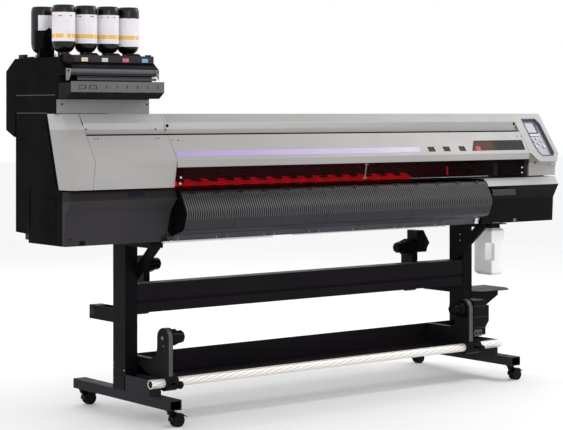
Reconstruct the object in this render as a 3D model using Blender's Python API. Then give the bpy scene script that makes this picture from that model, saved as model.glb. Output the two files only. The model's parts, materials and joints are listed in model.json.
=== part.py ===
"""Wide-format roll-to-roll UV inkjet printer on a caster stand.

Metres, +Z up, floor at z = 0. X runs along the machine with +X at the control panel end, -Y is the
operator's side where printed media leaves. Shapes are laid out from a datum whose Y is the print
unit's own zero; the datum empty then centres the whole machine over the origin.
"""
import math

import bmesh
import bpy
from mathutils import Matrix, Vector

# Print unit: overall half width, levels and the seams between its covers
BODY_HALF = 1.271
BODY_TOP = 1.177
BODY_REAR = 0.097
BODY_BOTTOM = 0.694
COVER_BOTTOM = 0.899
END_SEAM = -1.175
LEFT_SEAM = -0.816
RIGHT_SEAM = 1.088
CAP_BACK_TOP = -0.140
CAP_BACK_BOTTOM = -0.224

# Front skin, as (y, z): one straight slope from the top edge to the nose, then a lip
SLOPE_TOP = (-0.204, BODY_TOP)
SLOPE_NOSE = (-0.323, 1.002)
LIP_BOTTOM = 0.975
TOP_KINK = (-0.2345, 1.141)
TOP_EDGE = (-0.238, 1.1005)
FRONT_EDGE = (-0.2585, 1.0965)
CORNER = 0.020

# Stand
LEG_WIDTH = 0.056
LEFT_LEG_X = -0.873
RIGHT_LEG_X = 0.939
LEG_FRONT, LEG_BACK = -0.0505, 0.038
FOOT_FRONT, FOOT_REAR = -0.3525, 0.337
FOOT_BOTTOM, FOOT_TOP = 0.068, 0.106
BEAM_LOW, BEAM_HIGH = 0.401, 0.5145
RAIL_R = 0.0175
FRONT_RAIL = (-0.223, 0.151)
REAR_RAIL = (0.190, 0.393)

# Roll holders
TAKEUP_SPINDLE = (-0.2195, 0.322)
FEED_SPINDLE = (0.190, 0.564)
FLANGE_R = 0.0385
SPINDLE_R = 0.008

# Casters
WHEEL_R = 0.025
TRAIL = 0.030
CASTER_FRONT_Y, CASTER_REAR_Y = -0.318, 0.310

# Ink unit
INK_LEFT, INK_RIGHT = -BODY_HALF, -0.865
TRAY_RIGHT = -0.8635
DECK_TOP = 1.385
BOTTLE_R = 0.0428
BOTTLE_TOP = 1.579
BOTTLES = {
    "ink_bottle_1": (-1.215, -0.164),
    "ink_bottle_2": (-1.121, -0.164),
    "ink_bottle_3": (-1.025, -0.164),
    "ink_bottle_4": (-0.9350, -0.164),
    "ink_bottle_5": (-1.215, -0.009),
}

# Media path
PLATEN_TOP = 0.884
GRIT_ROLLER = (-0.105, 0.8715)
GRIT_R = 0.0125
PINCH_PIVOT = (-0.005, 0.898)
APRON_FRONT = -0.364

# Control panel: its centre on the front slope, its depth under it, and the covers' hinge line
PANEL_CENTRE = (1.190, -0.2733, 1.075)
PANEL_DEPTH = -0.012
HINGE = (-0.2560, 1.1015)
LEVER_PIVOT = (-0.250, 0.790)
# Sight holes in the wide front cover: low and high x at the bottom, the same at the top, and both
# edges' places up the slope from the panel's centre
SIGHT_HOLES = ((0.485, 0.523, 0.485, 0.523, -0.071, -0.047), (0.574, 0.612, 0.574, 0.612, -0.071, -0.047),
               (0.667, 0.704, 0.667, 0.704, -0.071, -0.047), (0.740, 1.069, 0.775, 1.076, -0.071, -0.019))
# Keys: centre on the panel (along, up the slope) and half sizes
KEYS = {
    "key_up": (-0.003, -0.0065, 0.0055, 0.0045),
    "key_left": (-0.025, -0.0195, 0.0055, 0.0045),
    "key_right": (0.019, -0.0195, 0.0055, 0.0045),
    "key_down": (-0.003, -0.0325, 0.0055, 0.0045),
    "key_end": (-0.026, -0.0500, 0.0065, 0.0065),
    "key_enter": (0.023, -0.0500, 0.0085, 0.0065),
    "function_keys": (-0.003, 0.0120, 0.0300, 0.0040),
}

# Clearances
GAP = 0.0005
SHEET = 0.0025

# The datum's own place: it makes the machine's front and rear extremes equally far from y = 0
DATUM_Y = -(APRON_FRONT + FOOT_REAR) / 2

FINISHES = {
    "light_grey_cover": ((0.62, 0.62, 0.63), 0.45, 0.0),
    "dark_grey_cover": ((0.045, 0.043, 0.047), 0.5, 0.0),
    "black_panel": ((0.012, 0.012, 0.013), 0.5, 0.0),
    "black_steel": ((0.018, 0.017, 0.020), 0.45, 0.6),
    "aluminium": ((0.68, 0.65, 0.63), 0.3, 1.0),
    "red_window": ((0.16, 0.004, 0.006), 0.08, 0.0),
    "ribbed_apron": ((0.07, 0.07, 0.075), 0.4, 0.2),
    "black_plastic": ((0.015, 0.015, 0.016), 0.4, 0.0),
    "ink_bottle": ((0.01, 0.01, 0.011), 0.2, 0.0),
    "waste_tank": ((0.72, 0.72, 0.72), 0.4, 0.0),
    "red_teeth": ((0.5, 0.01, 0.015), 0.4, 0.0),
    "panel_plate": ((0.35, 0.34, 0.40), 0.4, 0.0),
    "key_cap": ((0.75, 0.75, 0.78), 0.4, 0.0),
    "chassis": ((0.25, 0.25, 0.26), 0.45, 0.8),
    "rubber": ((0.02, 0.02, 0.02), 0.7, 0.0),
}


# ---- shapes ----------------------------------------------------------------------------------

def clear_scene():
    for obj in list(bpy.data.objects):
        bpy.data.objects.remove(obj, do_unlink=True)


def solid(name, verts, faces):
    """A closed mesh with its faces pointing out, held by the datum."""
    mesh = bpy.data.meshes.new(name)
    mesh.from_pydata(verts, [], faces)
    shape = bmesh.new()
    shape.from_mesh(mesh)
    bmesh.ops.recalc_face_normals(shape, faces=shape.faces[:])
    shape.to_mesh(mesh)
    shape.free()
    obj = bpy.data.objects.new(name, mesh)
    obj.parent = datum
    bpy.context.collection.objects.link(obj)
    return obj


def at(axis, along, a, b):
    """The point at a place along an axis, with its two other coordinates in X, Y, Z order."""
    return {"X": (along, a, b), "Y": (a, along, b), "Z": (a, b, along)}[axis]


def loft(name, axis, sections):
    """A closed solid through outlines with equally many points, each with its place on the axis."""
    count = len(sections[0][1])
    verts = [at(axis, along, a, b) for along, outline in sections for a, b in outline]
    last = (len(sections) - 1) * count
    faces = [list(range(count)), list(range(last, last + count))]
    for start in range(0, last, count):
        for k in range(count):
            j = (k + 1) % count
            faces.append([start + k, start + j, start + count + j, start + count + k])
    return solid(name, verts, faces)


def prism(name, axis, outline, low, high):
    return loft(name, axis, [(low, outline), (high, outline)])


def rectangle(a0, b0, a1, b1):
    return [(a0, b0), (a1, b0), (a1, b1), (a0, b1)]


def box(name, low, high):
    return prism(name, "Z", rectangle(low[0], low[1], high[0], high[1]), low[2], high[2])


def arc(centre, radius, start, stop, steps):
    """Points on an arc, its angles in degrees from the first coordinate's axis."""
    turns = [math.radians(start + (stop - start) * k / steps) for k in range(steps + 1)]
    return [(centre[0] + radius * math.cos(t), centre[1] + radius * math.sin(t)) for t in turns]


def circle(centre, radius, sides=16):
    return arc(centre, radius, 0, 360, sides)[:-1]


def rod(name, axis, centre, radius, low, high, sides=16):
    obj = prism(name, axis, circle(centre, radius, sides), low, high)
    return smooth(obj)


def turned(name, axis, centre, profile, sides=20):
    """A solid of revolution; the profile is (place along the axis, radius), both ends at radius 0."""
    rings = []
    verts = []
    for along, radius in profile:
        points = [centre] if radius == 0 else circle(centre, radius, sides)
        rings.append(list(range(len(verts), len(verts) + len(points))))
        verts += [at(axis, along, a, b) for a, b in points]
    faces = []
    for one, two in zip(rings, rings[1:]):
        for k in range(sides):
            j = (k + 1) % sides
            corners = [one[k % len(one)], one[j % len(one)], two[j % len(two)], two[k % len(two)]]
            faces.append(list(dict.fromkeys(corners)))
    return smooth(solid(name, verts, faces))


def offset(points, distance, closed):
    """An outline whose every side is moved to its left by a distance, meeting at mitred corners."""
    count = len(points)
    moved = []
    for k in range(count):
        before = points[k - 1] if closed or k else None
        after = points[(k + 1) % count] if closed or k < count - 1 else None
        here = Vector(points[k])
        sides = []
        if before is not None:
            sides.append((here - Vector(before)).normalized())
        if after is not None:
            sides.append((Vector(after) - here).normalized())
        normals = [Vector((-side.y, side.x)) for side in sides]
        mitre = sum(normals, Vector((0, 0))).normalized()
        moved.append(tuple(here + mitre * (distance / mitre.dot(normals[0]))))
    return moved


def inset(outline, distance):
    """A closed outline drawn inwards by a distance."""
    turns = zip(outline, outline[1:] + outline[:1])
    area = sum(p[0] * q[1] - q[0] * p[1] for p, q in turns)
    return offset(outline, math.copysign(distance, area), closed=True)


def sheet(points, thickness=SHEET):
    """The outline of a folded sheet: the given line is one face, the other lies to its left."""
    return list(points) + offset(points, thickness, closed=False)[::-1]


def smooth(obj):
    obj.data.shade_smooth()
    obj.data.set_sharp_from_angle(angle=math.radians(40))
    return obj


def combine(target, operation, others):
    for other in others:
        other.hide_render = True
        other.display_type = "WIRE"
        step = target.modifiers.new(operation.title(), "BOOLEAN")
        step.operation = operation
        step.object = other
    return target


def join(target, *others):
    return combine(target, "UNION", others)


def cut(target, *others):
    return combine(target, "DIFFERENCE", others)


def paint(obj, finish):
    """Gives a part its finish: a Principled material, made once for each kind."""
    material = bpy.data.materials.get(finish)
    if material is None:
        colour, roughness, metallic = FINISHES[finish]
        material = bpy.data.materials.new(finish)
        material.use_nodes = True
        shader = material.node_tree.nodes["Principled BSDF"]
        shader.inputs["Base Color"].default_value = (*colour, 1)
        shader.inputs["Roughness"].default_value = roughness
        shader.inputs["Metallic"].default_value = metallic
    obj.data.materials.append(material)
    return obj


def pivot(obj, point):
    """Moves an object's origin to a point of its joint's axis; the shape stays where it is."""
    obj.data.transform(Matrix.Translation(-Vector(point)))
    obj.location = point
    return obj


# ---- chassis and media path ------------------------------------------------------------------

def main_frame():
    """Welded chassis: platen beam, carriage guide beam, end plates, leg pads and tank hanger."""
    half = 1.2350
    plate = 0.004
    groove_low = GRIT_ROLLER[1] - GRIT_R - 0.002
    front, back = GRIT_ROLLER[0] - 0.0145, GRIT_ROLLER[0] + 0.0145
    beam = prism("main_frame", "X", [
        (-0.290, PLATEN_TOP), (front, PLATEN_TOP), (front, groove_low), (back, groove_low),
        (back, PLATEN_TOP), (0.060, PLATEN_TOP), (0.060, 0.700), (0.056, 0.700), (0.056, 0.876),
        (back + plate, 0.876), (back + plate, 0.851), (front - plate, 0.851), (front - plate, 0.874),
        (-0.176, 0.874), (-0.176, 0.700), (-0.180, 0.700), (-0.180, 0.874), (-0.290, 0.874)],
        -half, half)
    guide = prism("guide_beam", "X", sheet([
        (-0.030, 1.010), (-0.030, 1.000), (-0.115, 1.000), (-0.115, 1.100), (-0.030, 1.100),
        (-0.030, 1.090)], -0.004), -half, half)
    rail = box("linear_rail", (-half + 0.02, -0.126, 1.030), (half - 0.02, -0.113, 1.048))
    ends = []
    for side in (-1, 1):
        low, high = sorted((side * half, side * (half - plate)))
        outline = [(-0.185, 0.700), (0.085, 0.700), (0.085, 1.160), (-0.135, 1.160), (-0.185, 1.000)]
        ends.append(prism("end_plate", "X", outline, low, high))
    pads = []
    for x in (LEFT_LEG_X, RIGHT_LEG_X):
        pads.append(box("leg_pad", (x, -0.178, BODY_BOTTOM + GAP), (x + LEG_WIDTH, 0.058, 0.712)))
    hanger = box("tank_hanger", (1.060, -0.088, 0.6685), (1.182, 0.030, 0.6725))
    slot = prism("neck_slot", "Z", [(1.100, -0.10), (1.142, -0.10)]
                 + arc((1.121, -0.030), 0.021, 0, 180, 10), 0.660, 0.680)
    web = box("hanger_web", (1.060, 0.025, 0.6685), (1.182, 0.030, 0.880))
    join(beam, guide, rail, *ends, *pads, cut(hanger, slot), web)
    return paint(beam, "chassis")


def grit_roller():
    roller = rod("grit_roller", "X", GRIT_ROLLER, GRIT_R, -0.800, 0.800, sides=20)
    return paint(pivot(roller, (0, *GRIT_ROLLER)), "aluminium")


def pinch_roller_bar():
    """A comb of red arms along one shaft, whose tips press the media on the grit roller."""
    teeth = 16
    left, right, pitch, width = -0.800, 0.555, 0.0815, 0.030
    outline = [(left, 0.008), (right, 0.008), (right, -0.018)]
    for k in range(teeth):
        x = right - 0.020 - k * pitch
        outline += [(x, -0.018), (x, -0.118), (x - width, -0.118), (x - width, -0.018)]
    outline.append((left, -0.018))
    comb = prism("pinch_roller_bar", "Z", outline, 0.893, 0.903)
    return paint(pivot(comb, (0, *PINCH_PIVOT)), "red_teeth")


def carriage():
    """The head carriage, parked at the panel end and running on the linear rail."""
    body = prism("carriage", "X", [
        (-0.285, 0.9035), (-0.130, 0.9035), (-0.130, 0.990), (-0.1165, 0.990), (-0.1165, 1.085),
        (-0.222, 1.085), (-0.285, 0.985)], 0.930, 1.200)
    groove = box("rail_groove", (0.90, -0.1265, 1.0295), (1.23, -0.10, 1.0485))
    return paint(cut(body, groove), "black_plastic")


def apron_line():
    """The media guide's outer line: platen edge, bulge, then in to a lip at the bottom."""
    bulge = arc((APRON_FRONT + 0.0475, 0.8005), 0.0475, 120, 200, 8)
    return ([(-0.297, 0.885), (-0.322, 0.885)] + bulge
            + [(-0.346, 0.736), (-0.298, 0.722), (-0.275, 0.716), (-0.270, 0.6945)])


def apron():
    guide = prism("apron", "X", sheet(apron_line(), 0.003), -0.802, 0.813)
    return paint(guide, "ribbed_apron")


def rear_guide():
    """Curved plate that leads media from the roll behind up to the platen."""
    line = [(0.0635, PLATEN_TOP)] + arc((0.070, 0.857), 0.027, 90, 0, 5) + [
        (0.097, 0.740), (0.075, 0.704)]
    plate = prism("rear_guide", "X", sheet(line, -SHEET), -0.8135, 0.8135)
    return paint(plate, "black_panel")


# ---- covers of the print unit ----------------------------------------------------------------

def casing(name, sections, inner_end, back, wall=0.003):
    """A thin shell through outlines along X, open at its inner end and at its back.

    The hollow is the same loft drawn in by the wall; it runs out past the inner end, and its
    points that lie on the back line are pushed out through the back."""
    outer = loft(name, "X", sections)
    hollow = []
    for x, outline in sections:
        drawn = inset(outline, wall)
        hollow.append([x, [(y + 0.2 if k in back else y, z) for k, (y, z) in enumerate(drawn)]])
    low, high = hollow[0], hollow[-1]
    if inner_end == "high":
        low[0] += wall
        high[0] += 0.01
    else:
        low[0] -= 0.01
        high[0] -= wall
    return cut(outer, loft(name + "_hollow", "X", hollow))


def left_end_cap():
    """Grey cap with a bevelled outer corner."""
    def outline(drawn_back):
        return [(CAP_BACK_TOP, BODY_TOP), (SLOPE_TOP[0] + drawn_back, BODY_TOP),
                (SLOPE_NOSE[0] + drawn_back, SLOPE_NOSE[1]), (-0.305 + drawn_back, COVER_BOTTOM),
                (CAP_BACK_BOTTOM, COVER_BOTTOM)]
    cap = casing("left_end_cap", [(-BODY_HALF, outline(CORNER)), (-BODY_HALF + CORNER, outline(0)),
                                  (END_SEAM - GAP, outline(0))], "high", back=(0, 4))
    return paint(cap, "light_grey_cover")


def right_end_cap():
    """Grey cap that carries the control panel on a block standing proud of the lower face."""
    outline = [(CAP_BACK_TOP, BODY_TOP), SLOPE_TOP, (-0.349, 0.9637), (-0.306, 0.949),
               (-0.305, COVER_BOTTOM), (CAP_BACK_BOTTOM, COVER_BOTTOM)]
    cap = casing("right_end_cap", [(RIGHT_SEAM + GAP, outline), (BODY_HALF - 0.006, outline),
                                   (BODY_HALF, outline)], "low", back=(0, 5))
    corners = []
    for side, triangle in (("left", [(1.080, 1.002), (1.094, 1.002), (1.128, 0.960), (1.128, 0.940),
                                     (1.080, 0.940)]),
                           ("right", [(1.290, 0.992), (1.263, 0.992), (1.234, 0.960), (1.234, 0.940),
                                      (1.290, 0.940)])):
        corners.append(prism("block_corner_" + side, "Y", triangle, -0.400, -0.3095))
    recess = on_slope(prism("panel_recess", "Z", [
        (-0.050, 0.092), (0.036, 0.092), (0.051, 0.066), (0.051, -0.090), (0.038, -0.103),
        (-0.028, -0.103), (-0.040, -0.090), (-0.050, -0.050)], -0.020, 0.020))
    return paint(cut(cap, *corners, recess), "light_grey_cover")


def on_slope(obj, depth=0.0, x=0.0, y=0.0):
    """Turns a shape drawn flat (X along, Y up the slope, Z outwards) onto the panel's slope."""
    rise = Vector((0, SLOPE_TOP[0] - SLOPE_NOSE[0], SLOPE_TOP[1] - SLOPE_NOSE[1])).normalized()
    along = Vector((1, 0, 0))
    out = along.cross(rise)
    obj.matrix_local = Matrix((along, rise, out)).transposed().to_4x4()
    obj.location = Vector(PANEL_CENTRE) + along * x + rise * y + out * depth
    return obj


def top_line():
    return [(BODY_REAR, 1.150), (BODY_REAR, BODY_TOP), SLOPE_TOP, TOP_KINK, TOP_EDGE]


def top_covers():
    covers = {"left_top_cover": (END_SEAM, LEFT_SEAM), "center_top_cover": (LEFT_SEAM, RIGHT_SEAM)}
    for name, (left, right) in covers.items():
        paint(prism(name, "X", sheet(top_line()), left + GAP, right - GAP), "light_grey_cover")


def hinged_covers():
    """The two front covers, which swing up about their top edges; the wide one has sight holes."""
    small = prism("left_front_cover", "X", sheet(
        [FRONT_EDGE, SLOPE_NOSE, (-0.305, COVER_BOTTOM)]), END_SEAM + GAP, LEFT_SEAM - GAP)
    wide = prism("front_cover", "X", sheet(
        [FRONT_EDGE, SLOPE_NOSE, (SLOPE_NOSE[0], LIP_BOTTOM)]), LEFT_SEAM + GAP, RIGHT_SEAM - GAP)
    holes = []
    for low, high, top_low, top_high, bottom, top in SIGHT_HOLES:
        corners = [(low, bottom), (high, bottom), (top_high, top), (top_low, top)]
        hole = prism("sight_hole", "Z", [(x - PANEL_CENTRE[0], y) for x, y in corners], -0.01, 0.01)
        holes.append(on_slope(hole))
    cut(wide, *holes)
    for cover in (small, wide):
        paint(pivot(cover, (0, *HINGE)), "light_grey_cover")


def window():
    """Red safety window that hangs from the wide front cover, behind its lip."""
    pane = box("window", (LEFT_SEAM + 0.0015, -0.3195, 0.897), (1.0840, -0.3155, 0.9960))
    return paint(pivot(pane, (0, *HINGE)), "red_window")


def side_panels():
    """Black steel ends: a side sheet with a step in its lower rear edge, and a top flange."""
    side = [(CAP_BACK_TOP + GAP, BODY_TOP), (BODY_REAR, BODY_TOP), (BODY_REAR, 0.730),
            (0.000, 0.726), (0.000, BODY_BOTTOM), (-0.2435, BODY_BOTTOM), (-0.2435, 0.8935),
            (CAP_BACK_BOTTOM + GAP, 0.8985)]
    for name, sign, inner in (("left_side_panel", -1, -END_SEAM), ("right_side_panel", 1, RIGHT_SEAM)):
        outer_low, outer_high = sorted((sign * BODY_HALF, sign * (BODY_HALF - 0.002)))
        panel = prism(name, "X", side, outer_low, outer_high)
        low, high = sorted((sign * (inner + GAP), sign * (BODY_HALF - 0.001)))
        flange = prism("top_flange", "X", rectangle(CAP_BACK_TOP + GAP, BODY_TOP - 0.002, BODY_REAR,
                                                    BODY_TOP), low, high)
        paint(join(panel, flange), "black_panel")


def lower_covers():
    left = [(-0.190, 0.8935), (-0.292, 0.8935), (-0.311, 0.860), (-0.2685, 0.812),
            (-0.262, BODY_BOTTOM), (-0.190, BODY_BOTTOM)]
    right = [(-0.190, 0.8935), (-0.306, 0.8935), (-0.3285, 0.859), (-0.296, 0.800),
             (-0.291, BODY_BOTTOM), (-0.190, BODY_BOTTOM)]
    end = BODY_HALF - 0.0025
    cover = casing("left_lower_cover", [(-end, left), (-1.0, left), (-0.8065, left)], "high",
                   back=(0, 5))
    paint(cover, "dark_grey_cover")
    cover = casing("right_lower_cover", [(0.8175, right), (1.0, right), (end, right)], "low",
                   back=(0, 5))
    notch = box("lever_notch", (0.800, -0.400, 0.735), (0.8460, -0.150, 0.8565))
    paint(cut(cover, notch), "dark_grey_cover")


def rear_cover():
    """Rear sheet of the print unit, above the slot where media enters."""
    line = [(BODY_REAR, 1.1490), (BODY_REAR, 0.925), (0.066, 0.915)]
    plate = prism("rear_cover", "X", sheet(line, -SHEET), -1.2300, 1.2300)
    return paint(plate, "black_panel")


# ---- control panel ---------------------------------------------------------------------------

def control_panel():
    """Panel plate at the bottom of the recess, with an opening under each key for its stem."""
    outline = [(-0.047, 0.089), (0.034, 0.089), (0.048, 0.065), (0.048, -0.088), (0.036, -0.100),
               (-0.026, -0.100), (-0.037, -0.088), (-0.047, -0.050)]
    plate = on_slope(prism("control_panel", "Z", outline, -0.003, 0.0), PANEL_DEPTH)
    holes = []
    for name, (x, y, half_x, half_y) in KEYS.items():
        stem = rectangle(x - half_x / 2 - GAP, y - half_y / 2 - GAP, x + half_x / 2 + GAP,
                         y + half_y / 2 + GAP)
        holes.append(on_slope(prism("hole_" + name, "Z", stem, -0.006, 0.003), PANEL_DEPTH))
    return paint(cut(plate, *holes), "panel_plate")


def keys():
    """Each key is a cap standing 1.2 mm clear of the plate, with a stem through it."""
    for name, (x, y, half_x, half_y) in KEYS.items():
        cap = prism(name, "Z", rectangle(-half_x, -half_y, half_x, half_y), 0.0015, 0.0040)
        stem = prism("stem_" + name, "Z", rectangle(-half_x / 2, -half_y / 2, half_x / 2, half_y / 2),
                     -0.005, 0.0030)
        for piece in (cap, stem):
            on_slope(piece, PANEL_DEPTH, x, y)
        paint(join(cap, stem), "key_cap")


def clamp_lever():
    """Lever at the apron's end that lifts the pinch rollers; a hub, a stem and a flat handle."""
    hub = rod("clamp_lever", "X", LEVER_PIVOT, 0.013, 0.8225, 0.8435)
    stem = prism("lever_stem", "X", [(-0.246, 0.799), (-0.258, 0.779), (-0.352, 0.820),
                                     (-0.352, 0.842), (-0.335, 0.846)], 0.8250, 0.8410)
    handle = prism("lever_handle", "X", [(-0.3525, 0.820), (-0.3345, 0.818), (-0.3305, 0.842),
                                         (-0.3485, 0.846)], 0.8250, 0.9680)
    return paint(pivot(join(hub, stem, handle), (0.833, *LEVER_PIVOT)), "black_plastic")


# ---- ink unit --------------------------------------------------------------------------------

def ink_unit():
    """Hollow cabinet on the machine's left end; its deck has a socket for each bottle's neck."""
    front = [(-0.236, 1.393), (-0.236, 1.368), (-0.268, 1.343), (-0.270, 1.318), (-0.217, 1.314),
             (-0.217, 1.2375), (-0.205, 1.2325), (-0.205, BODY_TOP + GAP)]
    rear = [(0.0985, BODY_TOP + GAP), (0.0985, 1.108), (0.106, 1.088), (0.170, 1.115),
            (0.170, 1.338), (0.102, DECK_TOP)]
    outline = front + rear + [(-0.225, DECK_TOP), (-0.229, 1.393)]
    unit = prism("ink_unit_casing", "X", outline, INK_LEFT, INK_RIGHT)
    room = box("ink_room", (INK_LEFT + 0.003, -0.202, BODY_TOP - 0.01),
               (INK_RIGHT - 0.003, 0.095, DECK_TOP - 0.004))
    sockets = [rod("socket", "Z", place, 0.024, 1.35, 1.42, sides=20) for place in BOTTLES.values()]
    return paint(cut(unit, room, *sockets), "black_panel")


def ink_tray():
    """Drawer-like tray across the ink unit's front, whose slots take the bottles' data chips."""
    outline = [(-0.305, 1.2955), (-0.305, 1.255), (-0.272, 1.2330), (-0.2185, 1.2330),
               (-0.2185, 1.3125), (-0.2215, 1.3125), (-0.2215, 1.240), (-0.271, 1.240),
               (-0.302, 1.260), (-0.302, 1.2955)]
    tray = prism("ink_tray", "X", outline, INK_LEFT + 0.001, TRAY_RIGHT)
    ends = [box("tray_end", (x, -0.3035, 1.2580), (x + 0.003, -0.2195, 1.2900))
            for x in (INK_LEFT + 0.001, TRAY_RIGHT - 0.003)]
    slant = [prism("tray_end_slant", "X", [(-0.3040, 1.2562), (-0.2720, 1.2345), (-0.2195, 1.2345),
                                           (-0.2195, 1.2600), (-0.3040, 1.2600)], x, x + 0.003)
             for x in (INK_LEFT + 0.001, TRAY_RIGHT - 0.003)]
    return paint(join(tray, *ends, *slant), "dark_grey_cover")


def bottles():
    """Round bottles standing on their necks; each lifts straight up out of its socket."""
    neck, collar = 0.0170, 0.0225
    profile = [(1.362, 0.0), (1.362, neck), (1.3820, neck), (1.3930, collar), (1.4045, collar),
               (1.4080, 0.0290), (1.4200, 0.0385), (1.4380, BOTTLE_R),
               (1.5600, BOTTLE_R), (1.5730, 0.0390), (BOTTLE_TOP, 0.0330), (BOTTLE_TOP, 0.0)]
    for name, (x, y) in BOTTLES.items():
        bottle = turned(name, "Z", (x, y), profile)
        paint(pivot(bottle, (x, y, DECK_TOP)), "ink_bottle")


# ---- stand -----------------------------------------------------------------------------------

def leg(name, x, inward):
    """Square-tube column with the arm that carries the print unit, a brace and a rail bracket."""
    high_x = x + LEG_WIDTH
    top = BODY_BOTTOM
    column = prism(name, "Z", rectangle(x, LEG_FRONT, high_x, LEG_BACK), FOOT_TOP + GAP, top)
    bore = prism("leg_bore", "Z", rectangle(x + 0.003, LEG_FRONT + 0.003, high_x - 0.003,
                                            LEG_BACK - 0.003), FOOT_TOP - 0.01, 0.660)
    arm = box("leg_arm", (x, -0.228, 0.667), (high_x, 0.100, top))
    face = high_x if inward > 0 else x
    brace_low, brace_high = sorted((face - 0.004 * inward, face + 0.012 * inward))
    brace = prism("leg_brace", "X", [(-0.205, 0.690), (-0.190, 0.660), (-0.022, 0.517),
                                     (0.010, 0.5175), (0.010, 0.535), (-0.160, 0.690)],
                  brace_low, brace_high)
    bracket = box("rail_bracket", (x, LEG_BACK - 0.002, 0.362), (high_x, 0.2135, 0.417))
    hollow = box("bracket_hollow", (x + 0.004, LEG_BACK + 0.001, 0.367),
                 (high_x - 0.004, 0.1580, 0.430))
    bore_rail = rod("rail_hole", "X", REAR_RAIL, RAIL_R + GAP, x - 0.01, high_x + 0.01, sides=24)
    cut(column, bore)
    join(column, arm, brace, cut(bracket, hollow, bore_rail))
    return column


def legs():
    paint(leg("left_leg", LEFT_LEG_X, 1), "black_steel")
    column = leg("right_leg", RIGHT_LEG_X, -1)
    face = RIGHT_LEG_X + LEG_WIDTH
    shelf = prism("tank_shelf", "Z", [(face - 0.003, -0.048), (face - 0.003, 0.034),
                                      (1.020, 0.118), (1.239, 0.118), (1.239, -0.030),
                                      (1.190, -0.094), (1.020, -0.094)], 0.3660, 0.3690)
    gusset = prism("shelf_gusset", "Y", [(face - 0.003, 0.368), (1.120, 0.368), (1.110, 0.352),
                                         (face - 0.003, 0.285)], -0.0080, -0.0040)
    paint(join(column, shelf, gusset), "black_steel")


def feet():
    """Bottom-open channels with closed ends, a bore for each caster stem and a rail saddle."""
    for name, x in (("left_foot", LEFT_LEG_X), ("right_foot", RIGHT_LEG_X)):
        high_x = x + LEG_WIDTH
        foot = box(name, (x, FOOT_FRONT, FOOT_BOTTOM), (high_x, FOOT_REAR, FOOT_TOP))
        hollow = box("foot_hollow", (x + 0.003, FOOT_FRONT + 0.065, FOOT_BOTTOM - 0.01),
                     (high_x - 0.003, FOOT_REAR - 0.065, FOOT_TOP - 0.003))
        centre = x + LEG_WIDTH / 2
        stems = [rod("stem_bore", "Z", (centre, y), 0.0055, FOOT_BOTTOM - 0.01, 0.0930, sides=12)
                 for y in (CASTER_FRONT_Y, CASTER_REAR_Y)]
        outer = box("saddle_outer", (x, -0.205, FOOT_TOP - 0.002), (x + 0.004, -0.051, 0.168))
        inner = box("saddle_inner", (high_x - 0.004, -0.205, FOOT_TOP - 0.002),
                    (high_x, -0.051, 0.168))
        block = box("saddle_block", (x, -0.215, FOOT_TOP - 0.002), (high_x, -0.185, 0.168))
        seat = rod("saddle_seat", "X", FRONT_RAIL, RAIL_R + GAP, x - 0.01, high_x + 0.01, sides=24)
        cut(foot, hollow, *stems)
        join(foot, outer, inner, block)
        paint(cut(foot, seat), "black_steel")


def cross_beam():
    """Deep folded channel between the legs, open to the rear, with a groove along its front."""
    line = [(0.022, BEAM_LOW + 0.020), (0.022, BEAM_LOW), (-0.048, BEAM_LOW), (-0.048, 0.440),
            (-0.042, 0.443), (-0.042, 0.448), (-0.048, 0.451), (-0.048, BEAM_HIGH),
            (0.022, BEAM_HIGH), (0.022, BEAM_HIGH - 0.020)]
    beam = prism("cross_beam", "X", sheet(line, -0.003), LEFT_LEG_X + LEG_WIDTH + GAP,
                 RIGHT_LEG_X - GAP)
    return paint(beam, "black_steel")


def lower_tray():
    """Trough between the legs that keeps slack media off the floor."""
    line = [(0.020, 0.235), (0.020, 0.151), (-0.185, 0.151), (-0.190, 0.160)]
    tray = prism("lower_tray", "X", sheet(line, 0.002), LEFT_LEG_X + LEG_WIDTH + GAP,
                 RIGHT_LEG_X - GAP)
    return paint(tray, "black_steel")


def rails():
    """Two tubes: the take-up rail seated on the feet, and the feed rail through the brackets."""
    ends = (LEFT_LEG_X, RIGHT_LEG_X + LEG_WIDTH)
    for name, centre in (("front_rail", FRONT_RAIL), ("rear_rail", REAR_RAIL)):
        tube = rod(name, "X", centre, RAIL_R, *ends, sides=24)
        bore = rod("tube_bore", "X", centre, RAIL_R - 0.0025, ends[0] - 0.01, ends[1] + 0.01,
                   sides=24)
        paint(cut(tube, bore), "aluminium")


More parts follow.
